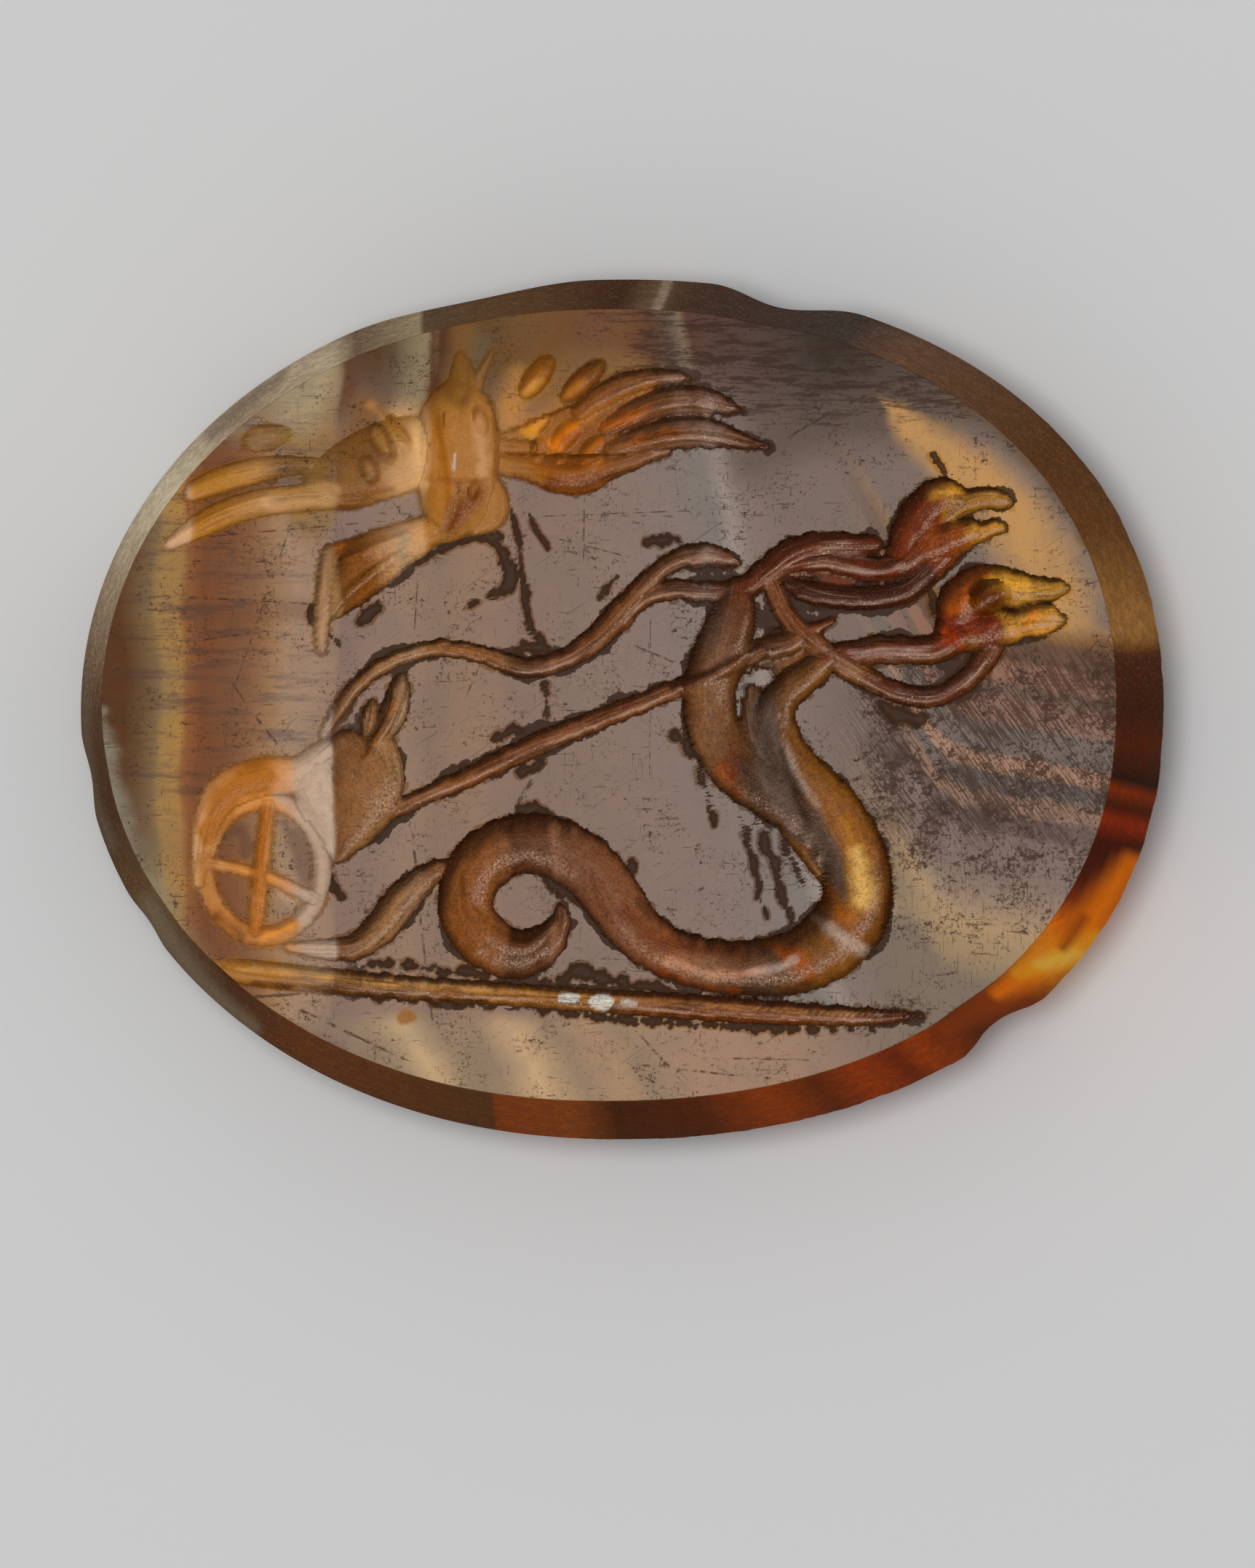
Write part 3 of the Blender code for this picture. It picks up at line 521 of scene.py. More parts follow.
@dataclass
class Carving:
    """The carved field: measures any place on the face, in tenths of a millimetre.

    Attributes:
        reach: How far from a stroke places are measured.
        raggedness: How far the edges wander; the next five are shares of it.
        slim_width: The half widths from which a stroke counts as broad, and as slim.
        hollow_middle: How far in from its edge a hollow counts as its middle.
        figure_share: A figure is at least this many times as deep as a hollow.
        axis_lift: The share of the strokes' depth that is left uncut.
        scratch_fade: The half widths at which a scratch starts to count, and over which it does.
    """

    reach: float = 8.0
    raggedness: float = 0.16
    calm_raggedness: float = 0.7
    figure_raggedness: float = 0.55
    wheel_raggedness: float = 0.4
    break_raggedness: float = 1.7
    island_raggedness: float = 1.6
    slim_width: tuple[float, float] = (2.5, 1.7)
    hollow_depth: float = 0.35
    hollow_wall: float = 0.3
    hollow_middle: float = 0.9
    figure_share: float = 1.2
    chip_depth: float = 0.22
    chip_wall: float = 0.35
    axis_lift: float = 0.06
    scratch_reach: float = 20.0
    scratch_fade: tuple[float, float] = (14.0, 6.0)

    def near(self, stroke: Stroke, x: np.ndarray, y: np.ndarray) -> np.ndarray:
        """Picks the places within reach of a stroke's box.

        Args:
            stroke: The stroke.
            x: Places along the face.
            y: Places across the face.

        Returns:
            The places' indices.
        """
        knots = np.array(stroke.knots)
        low = knots[:, :2].min(0) - knots[:, 2].max() - self.reach
        high = knots[:, :2].max(0) + knots[:, 2].max() + self.reach
        return np.flatnonzero((x > low[0]) & (x < high[0]) & (y > low[1]) & (y < high[1]))

    def spread(self, strokes: tuple[Stroke, ...], x: np.ndarray, y: np.ndarray) -> np.ndarray:
        """Gives how far each place lies inside the nearest of some strokes.

        Args:
            strokes: The strokes.
            x: Places along the face.
            y: Places across the face.

        Returns:
            The distance inside the edge, negative outside.
        """
        inside = np.full_like(x, -self.reach)
        for stroke in strokes:
            some = self.near(stroke, x, y)
            found = trace(stroke, x[some], y[some])
            inside[some] = np.maximum(inside[some], found.inside)
        return inside

    @staticmethod
    def oval_inside(oval: Oval, x: np.ndarray, y: np.ndarray) -> tuple[np.ndarray, np.ndarray]:
        """Measures places against an oval.

        Args:
            oval: The oval.
            x: Places along the face.
            y: Places across the face.

        Returns:
            The distance inside its edge, about, and the share of the way from its middle to it.
        """
        turn = math.radians(oval.turn)
        u = (x - oval.x) * math.cos(turn) + (y - oval.y) * math.sin(turn)
        v = (y - oval.y) * math.cos(turn) - (x - oval.x) * math.sin(turn)
        share = np.hypot(u / oval.half_length, v / oval.half_width)
        slope = np.hypot(u / oval.half_length ** 2, v / oval.half_width ** 2) / np.maximum(share, 1e-6)
        return (1.0 - share) / np.maximum(slope, 0.15), share

    @staticmethod
    def calm(x: np.ndarray, y: np.ndarray) -> np.ndarray:
        """Gives where the cuts' edges are soft, above left and at the left end, 0 to 1."""
        return np.maximum(ease(y, 16.0, 22.0) * ease(x, 14.0, -14.0), ease(x, -30.0, -38.0))

    @staticmethod
    def haze(x: np.ndarray, y: np.ndarray) -> np.ndarray:
        """Gives where pale stone hides the cuts, over the bird.

        Args:
            x: Places along the face.
            y: Places across the face.

        Returns:
            The share of the cuts that is hidden, 0 to 1.
        """
        wing = ease(x, -44.0, -40.5) * ease(x, -33.8, -34.8) * (0.45 + 0.5 * ease(y, 23.5, 28.0))
        shoulder = 0.9 * ease(x, -35.0, -34.0) * ease(x, -24.6, -27.0) * ease(y, 26.0, 32.0)
        crest = 0.65 * ease(y, 35.5, 40.0) * ease(x, -12.0, -13.5)
        return np.maximum(np.maximum(wing, shoulder), crest) * ease(y, 16.0, 20.0)

    def measure(self, x: np.ndarray, y: np.ndarray) -> dict[str, np.ndarray]:
        """Measures the whole carving at some places.

        Args:
            x: Places along the face.
            y: Places across the face.

        Returns:
            For each place: "edge", the distance inside the cuts; "depth"; "along", "side" and
            "stroke" of the deepest stroke; "slim", 1 in narrow strokes and 0 in broad ones;
            "middle", 0 at a stroke's edge up to 1 on its line; "chip", the distance inside the
            breaks; "scratch" and "close", the way to the nearest scratch; "calm" and "haze".
        """
        calm = self.calm(x, y)
        rough = self.raggedness * (wander(x, y, 0.33, 3) + 0.6 * wander(x, y, 0.85, 4))
        rough *= 1.0 - self.calm_raggedness * calm
        edge = np.full_like(x, -self.reach)
        depth, along, side, number, middle, slim = (np.zeros_like(x) for _ in range(6))
        for index, stroke in enumerate(FIGURES):
            some = self.near(stroke, x, y)
            found = trace(stroke, x[some], y[some])
            inside = found.inside + self.figure_raggedness * rough[some]
            cut = stroke.cut.depth(found.width, 1.0 - inside / found.width)
            cut *= (inside > 0.0) * (1.0 - self.axis_lift)
            edge[some] = np.maximum(edge[some], inside)
            middle[some] = np.maximum(middle[some], inside / found.width)
            deeper = cut > depth[some]
            places = some[deeper]
            depth[places] = cut[deeper]
            along[places] = found.along[deeper]
            side[places] = found.side[deeper]
            number[places] = index + 1
            slim[places] = ease(found.width[deeper], *self.slim_width)
        self.cut_ovals(x, y, rough, edge, depth, middle)
        hollow_in = self.spread(HOLLOWS, x, y) + rough
        middle = np.where(middle > 0.0, middle, np.clip(hollow_in / self.hollow_middle, 0.0, 1.0))
        extra, floor_middle = self.floor_cuts(x, y)
        depth += extra * (np.maximum(edge, hollow_in) > 0.0)
        middle = np.minimum(middle, floor_middle)
        islands = self.spread(ISLANDS, x, y) + self.island_raggedness * rough
        kept = islands > 0.0
        hollow = (hollow_in > 0.0) & ~kept & (depth < self.hollow_depth)
        sunk = self.hollow_depth * np.clip(hollow_in / self.hollow_wall, 0, 1)
        depth = np.where(hollow, np.maximum(depth, sunk), depth)
        edge = np.maximum(edge, hollow_in)
        figure_depth = self.figure_share * self.hollow_depth
        edge = np.where(depth > figure_depth, edge, np.minimum(edge, -islands))
        depth = np.where(kept & (depth < figure_depth), 0.0, depth)
        chip = self.spread(CHIPS, x, y) + self.break_raggedness * rough
        worn = (chip > 0.0) & (edge <= 0.0)
        sunk = self.chip_depth * np.clip(chip / self.chip_wall, 0.0, 1.0)
        depth = np.where(worn, np.maximum(depth, sunk), depth)
        scratch, close = self.scratches(x, y)
        return {"edge": edge, "depth": depth, "along": along, "side": side, "stroke": number,
                "slim": slim, "middle": middle, "chip": chip, "scratch": scratch, "close": close,
                "calm": calm, "haze": self.haze(x, y)}

    def scratches(self, x: np.ndarray, y: np.ndarray) -> tuple[np.ndarray, np.ndarray]:
        """Measures places against the nearest scratch.

        Args:
            x: Places along the face.
            y: Places across the face.

        Returns:
            The distance to the scratch in its own half widths, negative to its right, and 1 close
            to it down to 0 away from it.
        """
        far = np.full_like(x, self.scratch_reach)
        for scratch in SCRATCHES:
            some = self.near(scratch, x, y)
            found = trace(scratch, x[some], y[some])
            away = np.minimum((found.width - found.inside) / found.width, self.scratch_reach)
            nearer = away < np.abs(far[some])
            far[some[nearer]] = np.copysign(away, found.side)[nearer]
        start, fade = self.scratch_fade
        return far, np.clip((start - np.abs(far)) / fade, 0.0, 1.0)

    def cut_ovals(self, x: np.ndarray, y: np.ndarray, rough: np.ndarray,
                  edge: np.ndarray, depth: np.ndarray, middle: np.ndarray) -> None:
        """Sinks the wheel's rim and the drilled pits.

        Args:
            x: Places along the face.
            y: Places across the face.
            rough: The unevenness of the edges.
            edge: The distance inside the cuts, changed in place.
            depth: The depth, changed in place.
            middle: The way in from the edge, changed in place.
        """
        away, _ = self.oval_inside(WHEEL, x, y)
        inside = WHEEL_RIM - np.abs(away) + self.wheel_raggedness * rough
        cut = Cut.GROOVE.depth(WHEEL_RIM, 1.0 - inside / WHEEL_RIM) * (inside > 0.0)
        found = [(inside, cut, inside / WHEEL_RIM)]
        for pit in PITS:
            inside, way = self.oval_inside(pit, x, y)
            found.append((np.maximum(inside, -self.reach), Cut.PIT.depth(pit.half_width, way), 1.0 - way))
        for inside, cut, way_in in found:
            np.maximum(edge, inside, out=edge)
            np.maximum(depth, cut, out=depth)
            np.maximum(middle, way_in, out=middle)

    def floor_cuts(self, x: np.ndarray, y: np.ndarray) -> tuple[np.ndarray, np.ndarray]:
        """Gives the extra depth of the creases and pits in the figures' floors.

        Args:
            x: Places along the face.
            y: Places across the face.

        Returns:
            The extra depth at each place, and the most that "middle" may be there.
        """
        extra, middle = np.zeros_like(x), np.ones_like(x)
        for crease in CREASES:
            some = self.near(crease, x, y)
            found = trace(crease, x[some], y[some])
            cut = crease.cut.depth(found.width, 1.0 - found.inside / found.width)
            extra[some] = np.maximum(extra[some], cut)
        for pit in FLOOR_PITS:
            _, way = self.oval_inside(pit, x, y)
            extra = np.maximum(extra, Cut.FLOOR_PIT.depth(pit.half_width, way))
            middle = np.minimum(middle, np.where(way < 1.0, 0.12 + (1.0 - way) / 0.5, 1.0))
        return extra, middle


Socket = bpy.types.NodeSocket


@dataclass(frozen=True)
class Reading:
    """A number that nodes work out at each place; its sums and products add nodes."""

    desk: ShaderDesk
    socket: Socket

    def __add__(self, other: Reading | float) -> Reading:
        """Adds another."""
        return self.desk.math("ADD", self, other)

    def __sub__(self, other: Reading | float) -> Reading:
        """Takes another away."""
        return self.desk.math("SUBTRACT", self, other)

    def __rsub__(self, other: float) -> Reading:
        """Takes this away from a number."""
        return self.desk.math("SUBTRACT", other, self)

    def __mul__(self, other: Reading | float) -> Reading:
        """Multiplies by another."""
        return self.desk.math("MULTIPLY", self, other)

    def __abs__(self) -> Reading:
        """Drops the sign."""
        return self.desk.math("ABSOLUTE", self)

    def most(self, other: Reading | float) -> Reading:
        """Gives the larger of the two."""
        return self.desk.math("MAXIMUM", self, other)

    def least(self, other: Reading | float) -> Reading:
        """Gives the smaller of the two."""
        return self.desk.math("MINIMUM", self, other)

    def step(self, start: float, end: float, low: float = 0.0, high: float = 1.0) -> Reading:
        """Eases from low to high while this goes from start to end.

        Args:
            start: Where the easing starts.
            end: Where it ends; it may be the smaller.
            low: The value at the start.
            high: The value at the end.

        Returns:
            The eased value.
        """
        if start > end:
            start, end, low, high = end, start, high, low
        inputs = dict(enumerate((self, start, end, low, high)))
        made = self.desk.node("ShaderNodeMapRange", inputs, interpolation_type="SMOOTHSTEP")
        return Reading(self.desk, made.outputs[0])


@dataclass(frozen=True)
class Look:
    """A colour and how strongly the polish over it mirrors, from nodes or as plain values."""

    colour: Socket | Linear
    gloss: Reading | float


@dataclass
class ShaderDesk:
    """Adds nodes to one material and links them as they are made."""

    tree: bpy.types.NodeTree

    def feed(self, sockets: object, values: dict[int | str, object]) -> None:
        """Links some of a node's sockets to others, or sets their values.

        Args:
            sockets: The node's sockets.
            values: For a socket's name or number, a reading, another socket or a plain value.
        """
        for key, value in values.items():
            if isinstance(value, Reading):
                value = value.socket
            if isinstance(value, bpy.types.NodeSocket):
                self.tree.links.new(value, sockets[key])
            else:
                sockets[key].default_value = value

    def node(self, kind: str, inputs: dict[int | str, object], **settings: object) -> bpy.types.Node:
        """Adds a node.

        Args:
            kind: The node's type.
            inputs: What its sockets are fed.
            **settings: Properties to set on it.

        Returns:
            The node.
        """
        made = self.tree.nodes.new(kind)
        for name, value in settings.items():
            setattr(made, name, value)
        self.feed(made.inputs, inputs)
        return made

    def math(self, operation: str, *values: Reading | float) -> Reading:
        """Works out a number from others."""
        made = self.node("ShaderNodeMath", dict(enumerate(values)), operation=operation)
        return Reading(self, made.outputs[0])

    def mix(self, share: object, under: object, over: object) -> Socket:
        """Mixes two colours; share is the upper one's."""
        return self.node("ShaderNodeMix", {0: share, 6: under, 7: over}, data_type="RGBA").outputs[2]

    def blend(self, share: object, under: object, over: object) -> Reading:
        """Mixes two numbers; share is the upper one's."""
        made = self.node("ShaderNodeMix", {0: share, 2: under, 3: over}, data_type="FLOAT")
        return Reading(self, made.outputs[0])

    def cover(self, share: object, under: Look, over: Look) -> Look:
        """Lays one look over another."""
        return Look(self.mix(share, under.colour, over.colour), self.blend(share, under.gloss, over.gloss))

    def place(self, vector: Socket, size: Point, shift: Point = (0.0, 0.0, 0.0)) -> Socket:
        """Stretches a place and moves it."""
        inputs = {"Vector": vector, "Scale": size, "Location": shift}
        return self.node("ShaderNodeMapping", inputs).outputs[0]

    def split(self, vector: Socket) -> list[Reading]:
        """Takes a place's three numbers apart."""
        return [Reading(self, part) for part in self.node("ShaderNodeSeparateXYZ", {0: vector}).outputs]

    def noise(self, vector: Socket, scale: float, detail: float, rough: float = 0.5,
              ways: str = "2D") -> Reading:
        """Gives a soft random value, about 0.5 on average, that changes along two or three ways."""
        inputs = {"Vector": vector, "Scale": scale, "Detail": detail, "Roughness": rough}
        return Reading(self, self.node("ShaderNodeTexNoise", inputs, noise_dimensions=ways).outputs[0])

    def stored(self, name: str) -> bpy.types.Node:
        """Adds the node that reads one of the stone's attributes."""
        return self.node("ShaderNodeAttribute", {}, attribute_name=name)

    def read(self, name: str) -> Reading:
        """Reads one of the stone's numbers."""
        return Reading(self, self.stored(name).outputs["Fac"])

    def bands(self, value: Reading, stops: tuple[tuple[float, Linear], ...]) -> Look:
        """Lays bands of colour along a value.

        Args:
            value: The value, in the stops' own unit.
            stops: Each band's place, linear colour and gloss, in rising order, at most 32.

        Returns:
            The look.
        """
        low, high = stops[0][0], stops[-1][0]
        inputs = dict(enumerate((value, low, high, 0.0, 1.0)))
        spread = self.node("ShaderNodeMapRange", inputs, clamp=True)
        ramp = self.node("ShaderNodeValToRGB", {0: spread.outputs[0]})
        marks = ramp.color_ramp.elements
        marks[0].color = stops[0][1]
        marks[1].color = stops[-1][1]
        for place, colour in stops[1:-1]:
            marks.new((place - low) / (high - low)).color = colour
        return Look(ramp.outputs["Color"], Reading(self, ramp.outputs["Alpha"]))


@dataclass
class StoneDesk(ShaderDesk):
    """A desk for the stone, with what its looks read at each place.

    Attributes:
        solid: The place in the stone, in millimetres.
        flat: The place on the face, in millimetres from the carved scene's middle.
        x: Its place along the stone.
        y: Its place across the stone.
        drift: A soft random value about 0.
        fine: A fine random value about 0.
        calm: Where the stone is pale and the cuts' edges are soft, 0 to 1.
        edge: The distance inside the cuts, in millimetres.
    """

    solid: Socket = field(init=False)
    flat: Socket = field(init=False)
    x: Reading = field(init=False)
    y: Reading = field(init=False)
    drift: Reading = field(init=False)
    fine: Reading = field(init=False)
    calm: Reading = field(init=False)
    edge: Reading = field(init=False)

    def __post_init__(self) -> None:
        """Reads the places and the values that the looks share."""
        where = self.node("ShaderNodeTexCoord", {}).outputs["Object"]
        per_mm, shift = 1.0 / MM, (-Blank.scene_along / MM, -Blank.scene_across / MM, 0.0)
        self.solid = self.place(where, (per_mm, per_mm, per_mm))
        self.flat = self.place(where, (per_mm, per_mm, 0.0), shift)
        self.x, self.y, _ = self.split(self.flat)
        self.drift = self.noise(self.flat, 0.6, 2.0) - 0.5
        self.fine = self.noise(self.flat, 14.0, 3.0, 0.6) - 0.5
        self.calm = self.read("calm")
        self.edge = self.read("edge")

    def turned(self, degrees: float) -> Socket:
        """Turns the place on the face about the middle."""
        turn = (0.0, 0.0, math.radians(degrees))
        return self.node("ShaderNodeMapping", {"Vector": self.flat, "Rotation": turn}).outputs[0]

    def streaks(self, along: float, across: float, detail: float, rough: float,
                turn: float = 0.0) -> Reading:
        """Gives a random value on the face, which may be turned, with a pace of its own each way."""
        flat = self.turned(turn) if turn else self.flat
        return self.noise(self.place(flat, (along, across, 1.0)), 1.0, detail, rough)

    def tool_marks(self, along: float, side: float, detail: float, rough: float) -> Reading:
        """Gives a random value with paces of its own along the cutter's strokes and beside them."""
        tool = self.place(self.stored("tool").outputs["Vector"], (along, side, 7.3))
        return self.noise(tool, 1.0, detail, rough, "3D")


@dataclass(frozen=True)
class Glaze:
    """A soft patch of another colour along a line: the stone's own colour or, in places, painted
    light or shade.

    Attributes:
        knots: Points of the line, each with the patch's half width, in tenths of a millimetre.
        colour: Its colour as the eye reads it.
        strength: How far it covers what is under it.
        softness: The share of its half width over which it fades.
    """

    knots: tuple[Point, ...]
    colour: Colour
    strength: float
    softness: float


def glaze_table(*rows: tuple) -> tuple[Glaze, ...]:
    """Reads a table of glazes, the lowest first.

    Args:
        *rows: Each glaze's red, green, blue, strength and softness in hundredths, and its knots.

    Returns:
        The glazes.
    """
    return tuple(Glaze(row[5:], shares(row[:3]), *shares(row[3:5])) for row in rows)


FACE_BANDS: Bands = (
    (-6.3, 36, 23, 14), (-6, 36, 23, 13), (-5.8, 42, 31, 20), (-5.6, 50, 40, 27), (-5.5, 63, 49, 29),
    (-5.28, 66, 49, 27), (-5.2, 57, 36, 21), (-5, 48, 29, 18), (-4.7, 49, 32, 21), (-4.45, 54, 37, 25),
    (-4.2, 63, 47, 33), (-4, 65, 52, 41), (-3.7, 63, 51, 42), (-3.46, 60, 48, 40), (-3.42, 54, 44, 39),
    (-3, 56, 46, 40), (-2.5, 59, 48, 40), (-2.2, 55, 45, 38), (-1.9, 58, 46.5, 38.5),
    (-1.6, 58.5, 47, 39), (-1.3, 55, 45, 39.5), (-0.6, 54, 45, 40), (0.1, 55, 46, 41.5),
    (0.65, 54, 46, 42), (1.55, 51, 47, 44), (1.75, 61, 55, 51), (1.95, 53, 46, 42), (2.4, 50, 43, 39),
)

UPPER_FACE_BANDS: Bands = (
    (-5.3, 55, 47, 36), (-5, 44, 32, 20), (-4.7, 42, 33, 26), (-4.3, 56, 47, 34), (-4, 62, 53, 38),
    (-3.55, 62, 55, 42), (-3.42, 58, 49, 36), (-3.36, 37, 25, 17), (-3, 35, 25, 17), (-2.8, 38, 30, 22),
    (-2.6, 50, 44, 33), (-2.4, 57, 50, 37), (-2.3, 50, 40, 27), (-2.24, 33, 20, 12), (-1.9, 37, 27, 18),
    (-1.5, 42, 30, 17.5), (-1.1, 46, 32, 18), (-0.35, 45, 30, 18), (0.47, 47, 31, 20), (1.1, 38, 26, 19),
    (1.45, 40, 33, 28), (1.62, 50, 42, 34), (1.75, 36, 25, 20), (2.2, 35, 26, 23), (2.9, 30, 25, 22),
    (3.3, 23, 20, 17), (4.4, 30, 24, 20),
)

LOW_FACE_BANDS: Bands = (
    (-3.5, 55, 46, 38), (-2.9, 60, 50, 40), (-2.5, 76, 64, 48), (-2.1, 60, 50, 40), (-1.7, 60, 50, 40),
    (-1.25, 78, 64, 48), (-0.8, 60, 50, 40), (-0.3, 68, 54, 42), (0, 60, 50, 40), (0.5, 64, 51, 42),
    (1.8, 64, 51, 42), (3, 54, 45, 40),
)

# The bands at the right end run across the stone: their places are millimetres up the face.
RIGHT_BANDS: Bands = (
    (-3.2, 50, 44, 38), (-2.9, 62, 52, 40), (-2.5, 69, 57, 43), (-2.2, 60, 51, 43), (-1.9, 53, 45, 41),
    (-1.4, 53, 45, 41), (-1.34, 44, 37, 34), (-1.15, 44, 37, 34), (-1.1, 56, 45, 39), (-0.92, 58, 46, 39),
    (-0.86, 46, 42, 39), (-0.68, 46, 41, 38.5), (-0.63, 66, 52, 43), (-0.48, 66, 51, 43),
    (-0.42, 48, 42.5, 39), (-0.1, 47, 42, 38.5), (-0.04, 56, 44, 38), (0.25, 55, 42, 37),
    (0.3, 46, 37.5, 33), (0.42, 48, 38.5, 33), (0.47, 58, 43, 36), (0.68, 57, 42, 35), (0.73, 42, 32, 26),
    (0.97, 44, 33, 26), (1.02, 52, 38, 26), (1.15, 58, 43, 28), (1.22, 66, 50, 31), (1.6, 76, 59, 37),
    (2.4, 78, 60, 37),
)

UPPER_CUT_BANDS: Bands = (
    (-5.45, 80, 64, 49), (-5.2, 80, 62, 46), (-5.15, 68, 46, 18), (-4.8, 67, 46, 20), (-4.4, 70, 51, 29),
    (-4, 64, 48, 30), (-3.6, 60, 45, 28), (-3.42, 58, 43, 27), (-3.38, 44, 27, 13), (-3.1, 50, 31, 14),
    (-2.9, 62, 43, 25), (-2.6, 76, 58, 41), (-2.35, 76, 57, 37), (-2.28, 64, 42, 19), (-2, 64, 43, 21),
    (-1.6, 64, 44, 24), (-1.3, 58, 38, 19), (-1, 58, 36, 15), (-0.5, 52, 30, 13), (0, 50, 31, 17),
    (0.5, 46, 30, 20), (0.85, 46, 32, 24), (1, 56, 45, 39), (1.2, 45, 31, 24), (1.35, 40, 25, 17),
    (1.9, 40, 24, 16), (2.2, 40, 20, 12), (3, 38, 17, 9), (3.6, 44, 17, 4), (4, 48, 21, 6),
    (4.3, 64, 42, 14), (5, 70, 52, 22),
)

LOWER_CUT_BANDS: Bands = (
    (-5, 78, 57, 36), (-4.6, 78, 52, 27), (-4.2, 78, 51, 25), (-4, 78, 56, 38), (-3.85, 72, 61, 51),
    (-3.46, 72, 62, 54), (-3.42, 46, 30, 19), (-3.1, 54, 37, 23), (-2.8, 60, 43, 27), (-2.5, 58, 43, 31),
    (-2.3, 50, 33, 20), (-1.95, 52, 31, 16), (-1.6, 54, 33, 18), (-1.4, 50, 32, 20), (-1.33, 36, 22, 15),
    (-0.9, 40, 26, 18), (-0.82, 54, 37, 27), (-0.7, 46, 30, 21), (0, 50, 32, 22), (0.6, 54, 33, 20),
    (1, 50, 35, 24), (1.35, 40, 25, 15), (1.55, 35, 25, 18), (1.8, 36, 26, 19), (2, 45, 29, 16),
    (2.6, 52, 33, 15), (3.2, 40, 24, 12),
)

# The rim's bands by bearing in degrees, each from its own edges: the upper half's and the lower half's.
UPPER_RIM_BANDS: Bands = (
    (0, 25, 13, 8), (5.5, 30, 15, 8), (7.5, 60, 42, 22), (19, 41, 26, 14), (30, 36, 23, 13),
    (50, 40, 29, 22), (57, 26, 22, 20), (78, 28, 20, 16), (82.2, 33, 25, 19), (83.2, 60, 52, 44),
    (84.4, 40, 31, 23), (89, 26, 17, 12), (106, 36, 26, 17), (115.3, 35, 27, 19), (116, 58, 52, 41),
    (125, 42, 33, 25), (129, 70, 63, 52), (142, 60, 51, 41), (154, 76, 70, 59), (166, 60, 52, 42),
    (177, 37, 27, 19), (180, 32, 23, 16),
)

LOWER_RIM_BANDS: Bands = (
    (180, 32, 23, 16), (191, 28, 19, 13), (203, 38, 29, 19), (217, 29, 18, 11), (227, 37, 21, 11),
    (253.2, 33, 21, 13), (254, 48, 23, 11), (265, 48, 25, 12), (270, 27, 13, 5), (283, 31, 14, 6),
    (292, 52, 22, 8), (299, 36, 15, 5), (304, 55, 21, 5), (309, 40, 14, 3), (312, 56, 22, 5),
    # Painted glow: the bright orange stops near 332 and 335 degrees stand for light shining through the
    # stone.
    (318, 31, 14, 6), (325, 45, 20, 8), (332, 95, 60, 18), (335, 84, 40, 8), (338, 42, 14, 4),
    (341, 28, 9, 3), (344.5, 26, 7, 3), (347, 54, 16, 4), (349, 24, 9, 5), (351, 50, 18, 6),
    (352, 16, 9, 6), (356, 32, 13, 5), (360, 25, 13, 8),
)

FACE_GLAZES = glaze_table(
    (74, 61, 45, 75, 100, (33, -24, 2.6), (39, -26, 3.6), (46, -28.6, 2.4)),
    (38, 32, 28, 75, 100, (16, 30, 6), (24, 35, 8), (36, 37, 8)),
    (76, 57, 35, 95, 85, (31, 36.8, 0.8), (34, 34, 2.6), (38.6, 30.2, 4.6), (44.6, 25, 5.8),
     (49.6, 18, 6.8), (51.5, 10, 8)),
    (40, 31, 22, 80, 100, (38, 38.6, 1.6), (46.5, 32, 2.4), (52.5, 25.2, 2.2), (56, 19.5, 1.4)),
    (55, 40, 24, 70, 90, (-13, 38, 3), (-6, 40, 4), (1, 41, 3)),
    (58, 44, 27, 90, 60, (-37.4, 23, 4), (-37.6, 30, 4.6), (-37.4, 36, 4.4)),
    (60, 41, 20, 80, 90, (-13, 36, 2), (-7, 37.6, 3.4), (-1, 38.6, 2.6)),
    (76, 52, 26, 75, 100, (-14.4, 31, 2), (-13, 35, 3.4), (-12, 39.4, 2.6)),
    (70, 46, 23, 80, 100, (-11, 34.4, 2.2), (-7.4, 35.4, 2.2)),
    (66, 59, 46, 85, 70, (-38.5, 36.5, 5), (-37.4, 41.5, 4.6)),
    (56, 48, 38, 70, 90, (-46, 34, 3), (-42, 36.5, 3)),
    (56, 53, 44, 85, 100, (-62, 0, 1), (-61, -12, 3.4), (-58, -22, 5.6), (-53, -31, 5), (-47, -37, 3)),
    (47, 38, 31, 70, 90, (-49.5, -35.5, 2), (-42, -38, 2.4), (-34, -41, 2)),
    (60, 40, 20, 90, 40, (-26, -36.6, 0.8), (-25, -36.7, 0.8)),
    (45, 34, 28, 75, 80, (-40.2, -13.6, 1.4), (-38.2, -17, 2), (-37.6, -20, 1.2)),
    (43, 27, 18, 70, 90, (-47.8, -22.4, 1), (-45.8, -25.2, 1.2)),
    (42, 28, 20, 70, 80, (-48.4, -15.6, 0.8), (-45.6, -14.2, 1.2), (-45, -17, 0.8)),
    (72, 58, 46, 80, 90, (-40.8, -21.6, 1), (-38.6, -23, 1)),
    (62, 36, 18, 80, 90, (-40.4, -24.8, 0.9), (-39.6, -25.2, 0.9)),
    (50, 34, 17, 80, 80, (-19.2, 36.5, 3.4), (-18.9, 40.5, 3.3), (-18.6, 44.5, 3)),
    (40, 34, 25, 80, 100, (-17, 39.5, 1.6), (-16.6, 44, 2)),
    (33, 17, 9, 80, 80, (-22.6, 37.4, 0.9), (-22.4, 45, 1)),
    (40, 24, 13, 60, 100, (-33, 36, 1.2), (-32.2, 41, 1.4)),
    (42, 27, 19, 35, 100, (-52, 12, 1.6), (-44, 11, 2.2), (-36, 12.4, 1.2)),
)

